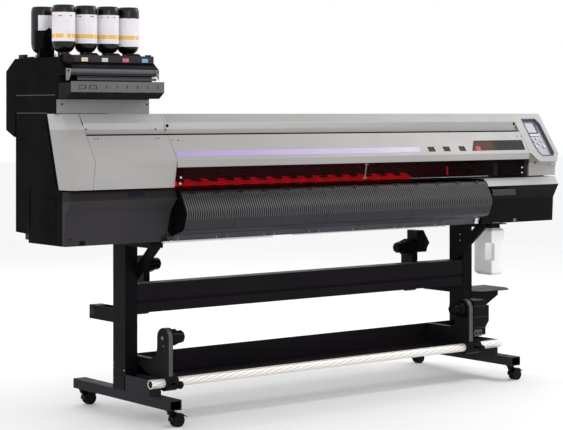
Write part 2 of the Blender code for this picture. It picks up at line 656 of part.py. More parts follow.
def casters():
    """Twin-wheel casters: a swivel body with its stem in the foot, and a pair of wheels on it."""
    places = {"front_left": (LEFT_LEG_X, CASTER_FRONT_Y), "front_right": (RIGHT_LEG_X, CASTER_FRONT_Y),
              "rear_left": (LEFT_LEG_X, CASTER_REAR_Y), "rear_right": (RIGHT_LEG_X, CASTER_REAR_Y)}
    for place, (foot_x, y) in places.items():
        x = foot_x + LEG_WIDTH / 2
        web = [(x - 0.012, 0.064), (x + 0.014, 0.064), (x + 0.042, 0.032), (x + 0.040, 0.016),
               (x + 0.024, 0.013), (x + 0.004, 0.036), (x - 0.012, 0.052)]
        swivel = prism(place + "_caster_swivel", "Y", web, y - 0.005, y + 0.005)
        plate = rod("swivel_plate", "Z", (x, y), 0.017, 0.0605, 0.0665, sides=16)
        stem = rod("swivel_stem", "Z", (x, y), 0.0048, 0.0640, 0.0900, sides=12)
        hole = rod("axle_hole", "Y", (x + TRAIL, WHEEL_R), 0.0050, y - 0.02, y + 0.02, sides=12)
        cut(join(swivel, plate, stem), hole)
        paint(pivot(swivel, (x, y, FOOT_BOTTOM)), "black_plastic")
        profile = [(-0.018, 0.0), (-0.018, 0.020), (-0.0160, WHEEL_R), (-0.0065, WHEEL_R),
                   (-0.0065, 0.0045), (0.0065, 0.0045), (0.0065, WHEEL_R), (0.0160, WHEEL_R),
                   (0.018, 0.020), (0.018, 0.0)]
        wheel = turned(place + "_caster_wheel", "Y", (x + TRAIL, WHEEL_R),
                       [(y + along, radius) for along, radius in profile], sides=24)
        paint(pivot(wheel, (x + TRAIL, y, WHEEL_R)), "rubber")


# ---- roll holders ----------------------------------------------------------------------------

def holder_arm(name, spindle, rail, x0, x1, clamp, foot=()):
    """Upright arm with a round top about the spindle, an optional foot, and a clamp on the rail."""
    y, z = spindle
    width = FLANGE_R
    top = arc((y, z), width, 0, 180, 10)
    low = rail[1] + 0.008
    arm = prism(name, "X", top + list(foot or [(y - width, low), (y + width, low)]), x0, x1)
    ring = rod("clamp_ring", "X", rail, 0.031, *clamp, sides=20)
    tube = rod("clamp_bore", "X", rail, RAIL_R + GAP, min(x0, clamp[0]) - 0.01,
               max(x1, clamp[1]) + 0.01, sides=24)
    shaft = rod("spindle_bore", "X", spindle, SPINDLE_R + GAP, x0 - 0.01, x1 + 0.01, sides=16)
    return paint(cut(join(arm, ring), tube, shaft), "black_plastic")


def core_holder(name, spindle, face, direction, shaft):
    """Flange, barrel and nose that hold a media core, on a shaft through the arm."""
    steps = [(-shaft, 0.0), (-shaft, SPINDLE_R), (0.0008, SPINDLE_R), (0.0008, FLANGE_R),
             (0.0090, FLANGE_R), (0.0090, 0.0330), (0.0380, 0.0330), (0.0400, 0.0255),
             (0.0660, 0.0255), (0.0700, 0.0200), (0.0700, 0.0)]
    profile = [(face + direction * along, radius) for along, radius in steps]
    return paint(pivot(turned(name, "X", spindle, profile, sides=24), (face, *spindle)),
                 "black_plastic")


def take_up():
    """Front unit that winds printed media: a sliding idle arm and a fixed driven arm."""
    y, z = TAKEUP_SPINDLE
    foot = [(y - FLANGE_R, 0.166), (0.010, 0.166), (0.010, 0.235), (-0.130, 0.235)]
    fillet = arc((-0.130, 0.286), 0.051, -90, -180, 5)[1:]
    outline_foot = foot + fillet
    holder_arm("takeup_idle_arm", TAKEUP_SPINDLE, FRONT_RAIL, -0.8135, -0.7915, (-0.8125, -0.760),
               outline_foot)
    core_holder("takeup_idle_core", TAKEUP_SPINDLE, -0.7915, 1, 0.023)
    holder_arm("takeup_drive_arm", TAKEUP_SPINDLE, FRONT_RAIL, 0.772, 0.7985, (0.773, 0.857),
               outline_foot)
    core_holder("takeup_drive_core", TAKEUP_SPINDLE, 0.772, -1, 0.026)
    motor = prism("takeup_motor_box", "Y", [
        (0.7990, 0.357), (0.872, 0.357), (0.877, 0.336), (0.894, 0.331), (0.894, 0.262),
        (0.873, 0.236), (0.873, 0.203), (0.7990, 0.203)], -0.262, -0.172)
    paint(motor, "black_plastic")


def feed():
    """Rear unit that carries the supply roll: two arms that slide along the rear rail."""
    holder_arm("feed_left_arm", FEED_SPINDLE, REAR_RAIL, -0.655, -0.625, (-0.665, -0.615))
    core_holder("feed_left_core", FEED_SPINDLE, -0.625, 1, 0.031)
    arm = holder_arm("feed_right_arm", FEED_SPINDLE, REAR_RAIL, 0.814, 0.846, (0.804, 0.856))
    y, z = FEED_SPINDLE
    brake = prism("roll_brake", "Y", [(0.8475, 0.640), (0.888, 0.640), (0.926, 0.580),
                                      (0.912, 0.562), (0.906, 0.540), (0.8475, 0.540)],
                  y - 0.034, y + 0.034)
    bridge = box("brake_bridge", (0.840, y - 0.030, 0.5765), (0.850, y + 0.030, 0.5990))
    join(arm, brake, bridge)
    core_holder("feed_right_core", FEED_SPINDLE, 0.814, -1, 0.0325)


# ---- waste tank ------------------------------------------------------------------------------

def waste_tank():
    """Translucent tank with a grip at its front edge; its neck flange sits in the hanger's slot."""
    x0, x1, y0, y1, z0, z1 = 1.079, 1.163, -0.093, 0.0200, 0.438, 0.653
    c = 0.012
    tank = loft("waste_tank", "Z", [
        (z0, [(x0 + c, y0 + c), (x1 - c, y0 + c), (x1 - c, y1 - c), (x0 + c, y1 - c)]),
        (z0 + c, rectangle(x0, y0, x1, y1)), (z1 - c, rectangle(x0, y0, x1, y1)),
        (z1, [(x0 + c, y0 + c), (x1 - c, y0 + c), (x1 - c, y1 - c), (x0 + c, y1 - c)])])
    sides = [box("grip_recess", (low, y0 - 0.01, 0.507), (high, y0 + 0.040, 0.585))
             for low, high in ((x0 - 0.01, x0 + 0.018), (x1 - 0.018, x1 + 0.01))]
    hand = box("grip_hole", (x0 - 0.01, y0 + 0.020, 0.507), (x1 + 0.01, y0 + 0.040, 0.585))
    neck = turned("tank_neck", "Z", (1.121, -0.030), [
        (0.640, 0.0), (0.640, 0.0190), (0.6735, 0.0190), (0.6735, 0.0290), (0.6800, 0.0290),
        (0.6800, 0.0180), (0.6900, 0.0180), (0.6900, 0.0)])
    return paint(join(cut(tank, *sides, hand), neck), "waste_tank")


clear_scene()
datum = bpy.data.objects.new("datum", None)
datum.location = (0, DATUM_Y, 0)
bpy.context.collection.objects.link(datum)
for build in (main_frame, grit_roller, pinch_roller_bar, carriage, apron, rear_guide, left_end_cap,
              right_end_cap, top_covers, hinged_covers, window, side_panels, lower_covers, rear_cover,
              control_panel, keys, clamp_lever, ink_unit, ink_tray, bottles, legs, feet, cross_beam,
              lower_tray, rails, casters, take_up, feed, waste_tank):
    build()
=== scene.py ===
import json
import math

import bmesh
import bpy
import numpy as np
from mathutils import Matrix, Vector


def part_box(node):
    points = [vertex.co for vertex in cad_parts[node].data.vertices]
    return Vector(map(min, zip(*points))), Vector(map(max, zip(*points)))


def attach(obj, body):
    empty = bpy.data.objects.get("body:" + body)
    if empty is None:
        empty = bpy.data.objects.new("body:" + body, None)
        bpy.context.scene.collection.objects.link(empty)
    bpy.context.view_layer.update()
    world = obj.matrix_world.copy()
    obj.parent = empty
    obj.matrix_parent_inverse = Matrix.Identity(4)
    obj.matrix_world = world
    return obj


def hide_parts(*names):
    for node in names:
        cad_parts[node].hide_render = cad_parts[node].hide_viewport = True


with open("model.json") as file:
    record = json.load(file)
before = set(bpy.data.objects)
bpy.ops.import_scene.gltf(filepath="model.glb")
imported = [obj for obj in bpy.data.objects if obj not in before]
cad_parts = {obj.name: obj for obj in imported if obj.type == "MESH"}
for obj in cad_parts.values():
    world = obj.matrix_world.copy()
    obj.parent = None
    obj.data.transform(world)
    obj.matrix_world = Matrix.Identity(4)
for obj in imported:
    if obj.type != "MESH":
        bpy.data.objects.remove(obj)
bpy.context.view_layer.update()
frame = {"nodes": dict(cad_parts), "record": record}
nodes = frame["nodes"]

# ---- Studio ------------------------------------------------------------------------------------
# A plain pale floor and soft white light from large panels. The camera stands well back at the
# machine's front left, level, with its frame shifted down.

def colour(code):
    """A linear colour from its usual six-digit code, each pair one of red, green and blue."""
    parts = np.array([code >> 16 & 255, code >> 8 & 255, code & 255]) / 255
    return (*np.where(parts <= 0.04045, parts / 12.92, ((parts + 0.055) / 1.055) ** 2.4), 1.0)


class Socket:
    """A shader socket. Arithmetic on it adds Math nodes, and node() adds any other node."""

    def __init__(self, out, material=None):
        self.out, self.material = out, material

    def node(self, kind, settings=None, sockets=None, output=0):
        """Adds a node: its settings first, a ramp's stops among them, then its sockets."""
        tree = self.out.id_data
        made = tree.nodes.new("ShaderNode" + kind)
        for key, value in (settings or {}).items():
            if key == "stops":
                ramp = made.color_ramp.elements
                while len(ramp) < len(value):
                    ramp.new(0.5)
                for stop, (place, shade) in zip(ramp, value):
                    stop.position = place
                    stop.color = shade if hasattr(shade, "__len__") else (shade, shade, shade, 1)
            else:
                setattr(made, key, value)
        for key, value in (sockets or {}).items():
            if isinstance(value, Socket):
                tree.links.new(value.out, made.inputs[key])
            else:
                made.inputs[key].default_value = value
        return Socket(made.outputs[output], self.material)

    def math(self, operation, *others):
        values = {k: v for k, v in enumerate((self, *others))}
        return self.node("Math", {"operation": operation}, values)

    def __add__(self, other): return self.math("ADD", other)
    def __mul__(self, other): return self.math("MULTIPLY", other)
    def __sub__(self, other): return self.math("SUBTRACT", other)
    def __truediv__(self, other): return self.math("DIVIDE", other)
    def __lt__(self, other): return self.math("LESS_THAN", other)
    def __gt__(self, other): return self.math("GREATER_THAN", other)
    def __rsub__(self, other): return (self * -1) + other
    __radd__, __rmul__ = __add__, __mul__

    def noise(self, scale, detail=2.0, rough=0.5):
        """Cloudy noise of so many features per metre, read at this place."""
        return self.node("TexNoise", None,
                         {"Vector": self, "Scale": scale, "Detail": detail, "Roughness": rough})

    def stretched(self, x, y, z):
        """The same place with each direction scaled, which draws a pattern out along one."""
        return self.node("Mapping", None, {"Vector": self, "Scale": (x, y, z)})

    def axis(self, name):
        return self.node("SeparateXYZ", None, {"Vector": self}, output="XYZ".index(name))

    def ramp(self, *stops):
        return self.node("ValToRGB", {"stops": stops}, {"Fac": self})

    def between(self, low, high):
        """From one value or colour code to another over the middle of a noise's range."""
        return self.ramp(*((stop, colour(value) if isinstance(value, int) else value)
                           for stop, value in ((0.3, low), (0.7, high))))

    def mixed(self, one, two):
        """Colour one where this is 0 and colour two where it is 1."""
        return self.node("Mix", {"data_type": "RGBA"}, {0: self, 6: one, 7: two}, output=2)

    def bump(self, strength, distance):
        """A normal raised by this height, so many metres at most."""
        return self.node("Bump", None, {"Height": self, "Strength": strength, "Distance": distance})


def place_on(name):
    """A new material, as the place on its piece in metres, from which its nodes are made."""
    material = bpy.data.materials.new(name)
    material.use_nodes = True
    material.node_tree.nodes.clear()
    return Socket(material.node_tree.nodes.new("ShaderNodeTexCoord").outputs["Object"], material)


def closed_off(place, **sockets):
    """Ends a material in one Principled shader with these sockets, underscores for spaces."""
    named = {key.replace("_", " "): value for key, value in sockets.items()}
    shader = place.node("BsdfPrincipled", None, named)
    tree = place.out.id_data
    end = tree.nodes.new("ShaderNodeOutputMaterial")
    tree.links.new(shader.out, end.inputs["Surface"])
    return place.material


place = place_on("studio_floor")
shade = place.noise(1.5).between(0xf4f4f4, 0xf7f7f7)
floor_finish = closed_off(place, Base_Color=shade, Roughness=0.9)
across = np.linspace(-30, 30, 9)
grid_x, grid_y = np.meshgrid(across, across)
corners = np.stack([grid_x, grid_y, 0 * grid_x], -1).reshape(-1, 3)
cell = (np.arange(8)[:, None] * 9 + np.arange(8)).reshape(-1, 1) + np.array([0, 1, 10, 9])
mesh = bpy.data.meshes.new("floor")
mesh.from_pydata(corners.tolist(), [], cell.tolist())
mesh.materials.append(floor_finish)
floor = bpy.data.objects.new("floor", mesh)
bpy.context.scene.collection.objects.link(floor)

world = bpy.data.worlds.new("studio")
world.use_nodes = True
world.node_tree.nodes["Background"].inputs["Color"].default_value = (1, 1, 1, 1)
world.node_tree.nodes["Background"].inputs["Strength"].default_value = 1.0
bpy.context.scene.world = world
bpy.context.scene.view_settings.view_transform = "Standard"

for name, watts, size, spot, aim in (("front", 30, 2.0, (-3.0, -5.5, 2.4), (-0.4, 0, 1.0)),
                                     ("high right", 34, 1.2, (2.5, -1.0, 2.9), (0.9, -0.2, 1.1)),
                                     ("rear", 50, 3.0, (0.5, 4.5, 3.6), (0, 0, 0.9))):
    lamp = bpy.data.lights.new(name, "AREA")
    lamp.energy, lamp.size = watts, size
    panel = bpy.data.objects.new(name, lamp)
    away = np.array(aim) - np.array(spot)
    panel.location = spot
    panel.rotation_euler = Vector(away).to_track_quat("-Z", "Y").to_euler()
    bpy.context.scene.collection.objects.link(panel)

lens = bpy.data.cameras.new("camera")
lens.lens, lens.sensor_width, lens.shift_y = 107.09, 36, -0.1812
lens.clip_end = 100
camera = bpy.data.objects.new("camera", lens)
camera.location = (-4.39, -5.5075, 1.18)
camera.rotation_euler = (math.radians(90), 0, math.radians(-38.065))
bpy.context.scene.collection.objects.link(camera)
bpy.context.scene.camera = camera

# ---- Feet and legs of the stand ----------------------------------------------------------------
# Folded and welded steel, powder coated black with a faint plum tint. Bolts join each leg to its
# foot and to the print unit, and small plates cover the joints.

DATUM = 0.0135  # the part's own zero in Y lies this far behind the origin
PINPRICK = 0.0001  # radius left at a turned shape's axis, which keeps its end faces whole
body_of = {n: body for body, members in frame["record"]["behaviour"]["bodies"].items() for n in members}


def shades(code, *factors):
    """One colour made darker or lighter by each of these factors."""
    return [(*(np.array(colour(code)[:3]) * factor), 1) for factor in factors]


def powder_coat(name, code, grain=0.35, rough=0.5, metallic=0.0, tone=0.12, gloss=0.04):
    """Sprayed paint: orange-peel bumps 2 mm apart, slow tone changes and wiped-on dullness."""
    place = place_on(name)
    cloud = place.noise(3.0, 4)
    low, high = shades(code, 1 - tone, 1 + tone)
    speck = place.noise(700.0, 1)
    base = (cloud * 0.8 + speck * 0.2).ramp((0.35, low), (0.65, high))
    dull = place.noise(12.0, 5, 0.6).between(rough - 0.07, rough + 0.08)
    skin = place.noise(480.0, 2).bump(grain, 0.0004)
    return closed_off(place, Base_Color=base, Roughness=dull, Normal=skin, Metallic=metallic,
                      Specular_IOR_Level=gloss)


def show(name, mesh, body, finish, replaced=(), sharp=32):
    """Makes a mesh a piece that rides on a body and stands for these CAD nodes."""
    mesh.materials.append(finish)
    mesh.shade_smooth()
    mesh.set_sharp_from_angle(angle=math.radians(sharp))
    made = bpy.data.objects.new(name, mesh)
    bpy.context.scene.collection.objects.link(made)
    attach(made, body)
    if replaced:
        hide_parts(*replaced)
    return made


def softened(node, finish, width=0.001, segments=2):
    """A CAD node with its edges broken: its mesh merged, its flat faces whole, then bevelled."""
    source = nodes[node].data
    points = np.zeros(len(source.vertices) * 3, np.float32)
    source.vertices.foreach_get("co", points)
    corners = np.zeros(len(source.loops), np.int32)
    source.loops.foreach_get("vertex_index", corners)
    mesh = bpy.data.meshes.new(node + "_shell")
    mesh.from_pydata(points.reshape(-1, 3).tolist(), [], corners.reshape(-1, 3).tolist())
    shape = bmesh.new()
    shape.from_mesh(mesh)
    bmesh.ops.remove_doubles(shape, verts=shape.verts[:], dist=2e-5)
    bmesh.ops.dissolve_limit(shape, angle_limit=math.radians(0.6), verts=shape.verts[:],
                             edges=shape.edges[:])
    shape.to_mesh(mesh)
    shape.free()
    made = show(node + "_shell", mesh, body_of[node], finish, [node])
    edges = made.modifiers.new("Broken edges", "BEVEL")
    edges.width, edges.segments, edges.limit_method = width, segments, "ANGLE"
    edges.angle_limit, edges.harden_normals = math.radians(24), True
    return made


def spread(axis, along, a, b):
    """Points from a place along an axis and the two other coordinates in X, Y, Z order."""
    order = {"X": (along, a, b), "Y": (a, along, b), "Z": (a, b, along)}[axis]
    return np.stack(np.broadcast_arrays(*order), -1) + (0, DATUM, 0)


def skinned(rings, ends=True):
    """A shell over rings of equally many points: quads between them and a face on each end."""
    count, around = rings.shape[:2]
    k, j = np.meshgrid(np.arange(count - 1), np.arange(around), indexing="ij")
    after = (j + 1) % around
    quads = np.stack([k * around + j, k * around + after, (k + 1) * around + after, (k + 1) * around + j],
                     -1).reshape(-1, 4)
    last = (count - 1) * around
    lids = [list(range(around)), list(range(last, last + around))] if ends else []
    return rings.reshape(-1, 3), quads, lids


def drawn_in(outline, distance):
    """A closed outline moved inwards: each corner slides along its mitre."""
    before, after = outline - np.roll(outline, 1, 0), np.roll(outline, -1, 0) - outline
    area = np.sum(outline[:, 0] * np.roll(outline[:, 1], -1) - np.roll(outline[:, 0], -1) * outline[:, 1])
    left = [np.stack([-d[:, 1], d[:, 0]], 1) / np.linalg.norm(d, axis=1, keepdims=True)
            for d in (before, after)]
    mitre = (left[0] + left[1]) * np.sign(area)
    mitre /= np.maximum(np.sum(mitre * mitre, 1, keepdims=True) / 2, 0.35)
    return outline + mitre * distance


def rounded(points, radius, steps=4, closed=True):
    """A line whose corners are eased: each becomes a short quadratic curve along its sides."""
    points = np.asarray(points, float)
    before, after = np.roll(points, 1, 0) - points, np.roll(points, -1, 0) - points
    reach = [np.minimum(radius / np.linalg.norm(d, axis=1, keepdims=True), 0.45) * d
             for d in (before, after)]
    t = np.linspace(0, 1, steps)[None, :, None]
    curve = points[:, None] + (1 - t) ** 2 * reach[0][:, None] + t ** 2 * reach[1][:, None]
    if closed:
        return curve.reshape(-1, points.shape[1])
    return np.vstack([points[:1], curve[1:-1].reshape(-1, points.shape[1]), points[-1:]])


def bar(axis, outline, low, high, edge=0.0006, corner=0.0):
    """An outline carried along an axis, its two ends rounded over by a quarter circle."""
    outline = rounded(outline, corner) if corner else np.asarray(outline, float)
    turn = np.radians([0, 45, 90])
    depths = np.concatenate([low + edge * (1 - np.sin(turn)), high - edge * (1 - np.sin(turn[::-1]))])
    insets = np.concatenate([edge * (1 - np.cos(turn)), edge * (1 - np.cos(turn[::-1]))])
    rings = [drawn_in(outline, inset) for inset in insets]
    return skinned(np.stack([spread(axis, depth, ring[:, 0], ring[:, 1])
                             for depth, ring in zip(depths, rings)]))


def rect(a0, b0, a1, b1):
    """The outline of a rectangle between two opposite corners."""
    return [(a0, b0), (a1, b0), (a1, b1), (a0, b1)]


def block(low, high, edge=0.0006, corner=0.0008):
    """A box with its upright edges and its ends eased."""
    return bar("Z", rect(*low[:2], *high[:2]), low[2], high[2], edge, corner)


def lathe(axis, centre, profile, sides=40):
    """A profile of (place along the axis, radius) turned full circle and closed on the axis."""
    profile = np.asarray(profile, float)
    if profile[0, 1] > PINPRICK:
        profile = np.vstack([(profile[0, 0], PINPRICK), profile])
    if profile[-1, 1] > PINPRICK:
        profile = np.vstack([profile, (profile[-1, 0], PINPRICK)])
    turn = np.arange(sides) * 2 * np.pi / sides
    a = centre[0] + profile[:, 1:] * np.cos(turn)
    b = centre[1] + profile[:, 1:] * np.sin(turn)
    return skinned(spread(axis, profile[:, :1], a, b))


def piece(name, finish, shells, body="root", replaced=(), sharp=32):
    """One object from several closed shells, their faces turned outwards."""
    points = np.vstack([shell[0] for shell in shells])
    starts = np.cumsum([0] + [len(shell[0]) for shell in shells])
    quads = np.vstack([shell[1] + start for shell, start in zip(shells, starts)])
    lids = [[int(start) + k for k in lid] for shell, start in zip(shells, starts) for lid in shell[2]]
    mesh = bpy.data.meshes.new(name)
    mesh.from_pydata(points.tolist(), [], quads.tolist() + lids)
    shape = bmesh.new()
    shape.from_mesh(mesh)
    bmesh.ops.recalc_face_normals(shape, faces=shape.faces[:])
    shape.to_mesh(mesh)
    shape.free()
    return show(name, mesh, body, finish, replaced, sharp)


def studs(spots, facing, radius, height=None):
    """Screw heads at several spots, facing one way: a low dome with a round driver recess."""
    height = height or radius * 0.5
    out = np.asarray(facing, float) / np.linalg.norm(facing)
    side = np.cross(out, (0, 0, 1.0) if abs(out[2]) < 0.9 else (1.0, 0, 0))
    side /= np.linalg.norm(side)
    up = np.cross(out, side)
    turn = np.arange(12) * np.pi / 6
    profile = np.array([(-0.3, 1), (0.5, 1), (0.9, 0.8), (1.0, 0.45), (0.4, 0.35)])
    circle = np.cos(turn)[:, None] * side + np.sin(turn)[:, None] * up
    ring = profile[:, None, :1] * height * out + profile[:, None, 1:] * radius * circle
    return [skinned(ring + np.asarray(spot, float) + (0, DATUM, 0)) for spot in spots]


LEFT, RIGHT, FRONT, BACK = (-1, 0, 0), (1, 0, 0), (0, -1, 0), (0, 1, 0)
LEGS_X, LEG_WIDTH = (-0.873, 0.939), 0.056
frame_black = powder_coat("stand_black", 0x0d0b0f, rough=0.4)
foot_black = powder_coat("foot_charcoal", 0x2a292e, grain=0.6, rough=0.45)
for node, finish in (("left_leg", frame_black), ("right_leg", frame_black), ("left_foot", foot_black),
                     ("right_foot", foot_black)):
    softened(node, finish, 0.0012)
bolt_steel = powder_coat("zinc_bolts", 0x9b9b9f, grain=0.1, rough=0.3, metallic=1.0)
plate_black = powder_coat("plate_black", 0x121015, rough=0.36)
leg_bolts, covers = [], []
for low in LEGS_X:
    high = low + LEG_WIDTH
    leg_bolts += studs([(low, 0.01, z) for z in (0.655, 0.38, 0.3)]
                       + [(low, -0.02, 0.135), (low, 0.02, 0.135), (low, 0.0, 0.118)], LEFT, 0.0042)
    leg_bolts += studs([(low + 0.014, -0.0505, z) for z in (0.64, 0.6, 0.47, 0.44)], FRONT, 0.0036)
    leg_bolts += studs([(high, 0.0, z) for z in (0.655, 0.6, 0.38, 0.3)], RIGHT, 0.0042)
    covers.append(bar("X", rect(-0.046, 0.1075, 0.034, 0.158), low - 0.0022, low - 0.0002, 0.0005, 0.003))
    covers += [bar("Z", rect(low + k, 0.24, low + k + 0.003, 0.315), 0.1055, 0.1066, 0.0003)
               for k in (0.02, 0.036)]
    covers.append(bar("Y", rect(low + 0.006, 0.072, high - 0.006, 0.102), -0.353, -0.3515, 0.0005, 0.002))
piece("leg_bolts", plate_black, leg_bolts)
piece("zinc_bolts", bolt_steel, studs([(-0.873, 0.034, 0.2025), (-0.873, 0.034, 0.186),
                                       (-0.873, -0.043, 0.184), (0.939, -0.032, 0.629),
                                       (0.939, -0.032, 0.602), (0.939, -0.03, 0.5)], LEFT, 0.0034))
piece("leg_plates", plate_black, covers)
gusset = [(0.9955, 0.3655), (1.205, 0.3655), (1.205, 0.335), (1.125, 0.292), (0.9955, 0.225)]
piece("shelf_gusset", plate_black, [bar("Y", gusset, -0.0095, -0.003, 0.0005, 0.002)])
beam_black = powder_coat("beam_black", 0x19161a, rough=0.4)
for node in ("cross_beam", "lower_tray"):
    softened(node, beam_black)

# ---- Casters -----------------------------------------------------------------------------------
# Twin-wheel casters of black nylon on a pressed stem, each under a half-round hood; the two at
# the front have a foot brake.

def moulded(name, code, rough=0.4, grain=0.25, gloss=0.06):
    """Moulded plastic: a fine spark-eroded grain under a soft sheen, a little worn smooth."""
    place = place_on(name)
    cloud = place.noise(9.0, 3)
    low, high = shades(code, 0.82, 1.2)
    grained = place.noise(1300.0, 2)
    return closed_off(place, Base_Color=cloud.ramp((0.35, low), (0.68, high)),
                      Roughness=place.noise(30.0, 4).between(rough - 0.08, rough + 0.1),
                      Normal=grained.bump(grain, 0.0002), Specular_IOR_Level=gloss)


nylon = moulded("caster_nylon", 0x0c0c0e, 0.25)
tread = moulded("caster_tread", 0x131315, 0.5, 0.4)
for corner, x, y in (("front_left", -0.845, -0.318), ("front_right", 0.967, -0.318),
                     ("rear_left", -0.845, 0.31), ("rear_right", 0.967, 0.31)):
    axle = (x + 0.03, 0.025)
    half = [(0.0068, 0.0046), (0.0068, 0.024), (0.0076, 0.025), (0.0152, 0.025), (0.0168, 0.024),
            (0.0172, 0.0215), (0.0165, 0.019), (0.016, 0.0175), (0.016, 0.009), (0.0172, 0.008),
            (0.018, 0.006), (0.0182, PINPRICK)]
    profile = [(y - a, r) for a, r in half[::-1]] + [(y + a, r) for a, r in half]
    piece(corner + "_wheels", tread, [lathe("Y", axle, profile, 48)], corner + "_wheel",
          [corner + "_caster_wheel"])
    softened(corner + "_caster_swivel", nylon, 0.0006)
    turn = np.radians(np.linspace(28, 188, 17))
    arcs = [np.stack([axle[0] + r * np.cos(t), axle[1] + r * np.sin(t)], 1)
            for r, t in ((0.0268, turn), (0.0292, turn[::-1]))]
    hood = [bar("Y", np.vstack(arcs), y - 0.018, y + 0.018, 0.0008)]
    if corner.startswith("front"):
        hood.append(bar("Y", [(x + 0.052, 0.04), (x + 0.07, 0.034), (x + 0.0705, 0.0365),
                              (x + 0.05, 0.046)], y - 0.011, y + 0.011, 0.0006, 0.001))
    piece(corner + "_hood", nylon, hood, body=corner + "_swivel")

# ---- Rails ---------------------------------------------------------------------------------------
# Two drawn aluminium tubes on which the roll holders slide. Spiral turning marks wind round them,
# painted as light and dark stripes of sheen, and a plastic plug closes each end.

FRONT_RAIL, REAR_RAIL = (-0.223, 0.151), (0.19, 0.393)
LEAD, STARTS = 0.047, 8
place = place_on("spiral_aluminium")
winding = []
for y, z in (FRONT_RAIL, REAR_RAIL):
    turned_by = (place.axis("Z") - z).math("ARCTAN2", place.axis("Y") - (y + DATUM)) / (2 * math.pi)
    winding.append((place.axis("X") / LEAD + turned_by * STARTS).math("FRACT"))
at_rear = place.axis("Y") > 0
wave = winding[0] * (1 - at_rear) + winding[1] * at_rear
line = place.stretched(1, 8, 8).noise(90.0, 3)
# The stripes run from beige to near white: painted sheen along the turning marks.
tint = (wave + line * 0.2).ramp((0.1, colour(0xb5a698)), (0.28, colour(0xe6dfd8)), (0.6, colour(0xf7f4f1)))
rail_finish = closed_off(place, Base_Color=tint, Metallic=0.2,
                         Roughness=line.ramp((0.2, 0.36), (0.9, 0.24)), Normal=line.bump(0.2, 0.0003))
for node in ("front_rail", "rear_rail"):
    softened(node, rail_finish, 0.0006)
plugs = [lathe("X", centre, [(x - 0.0002 * s, 0.0105), (x - 0.003 * s, 0.014), (x - 0.01 * s, 0.0148)], 32)
         for centre in (FRONT_RAIL, REAR_RAIL) for x, s in ((-0.873, -1), (0.995, 1))]
plugs.append(lathe("X", REAR_RAIL, [(-0.875, 0.0165), (-0.8732, 0.018)], 32))
piece("rail_plugs", moulded("plug_black", 0x1a1a1c), plugs)

# ---- Chassis and media path --------------------------------------------------------------------
# Extruded aluminium platen and guide beams between steel end plates. The platen's black skin is
# drilled for suction; a gritted steel roller pulls the media along it.

place = place_on("mill_aluminium")
drawn = place.stretched(0.6, 14, 14).noise(40.0, 4)
mill = closed_off(place, Base_Color=drawn.between(0x131215, 0x201f22), Metallic=0.7,
                  Roughness=drawn.between(0.38, 0.52), Normal=drawn.bump(0.3, 0.0003))
nodes["main_frame"].data.materials.clear()
nodes["main_frame"].data.materials.append(mill)

HOLES = 0.02
place = place_on("suction_skin")
hole_x = (place.axis("X") / HOLES).math("FRACT") - 0.5
hole_y = (place.axis("Y") / HOLES).math("FRACT") - 0.5
drilled = (hole_x * hole_x + hole_y * hole_y) < 0.012
matt = place.noise(60.0, 4)
# The holes are painted a little darker than the skin: painted shade inside them, besides their bump.
platen_finish = closed_off(place,
                           Base_Color=drilled.mixed(matt.between(0x050506, 0x0a090b), colour(0x050505)),
                           Roughness=matt.between(0.5, 0.62), Normal=(drilled * -1).bump(0.6, 0.0008),
                           Specular_IOR_Level=0.02)
piece("platen_skin", platen_finish,
      [block((-1.17, -0.2885, 0.8842), (0.9, -0.1215, 0.8852)),
       block((-1.17, -0.089, 0.8842), (0.9, 0.057, 0.8852))])

place = place_on("brush_hair")
hair = place.stretched(60, 1, 1).noise(12.0, 2)
piece("entry_brush", closed_off(place, Base_Color=hair.between(0x040303, 0x0b0808),
                                Roughness=hair.between(0.6, 0.8), Specular_IOR_Level=0.05),
      [bar("X", [(0.06, 0.886), (0.0625, 0.886), (0.064, 0.92), (0.059, 0.92)], -1.2, 1.2, 0.0005)])
# A thin black plate fills the gap under the right end cap: painted shade, a dark sheet where the shade
# under the cap falls.
piece("right_inner_plate", platen_finish, [block((1.05, -0.285, 0.8942), (1.215, -0.1, 0.8962))])

place = place_on("gritted_steel")
grit = place.noise(1500.0, 2)
piece("grit_roller_bands", closed_off(place, Base_Color=grit.between(0x6f6f70, 0xa8a8aa), Metallic=0.9,
                                      Roughness=0.42, Normal=grit.bump(0.7, 0.0003)),
      [lathe("X", (-0.105, 0.8715), np.vstack([[(-0.8, 0.0118)],
        np.stack([np.repeat(np.linspace(-0.79, 0.79, 25), 2) + np.tile([-0.0165, 0.0165], 25),
                  np.tile([0.0125, 0.0125], 25)], 1), [(0.7999, 0.0118), (0.8, PINPRICK)]]), 40)],
      "grit_roller", ["grit_roller"])
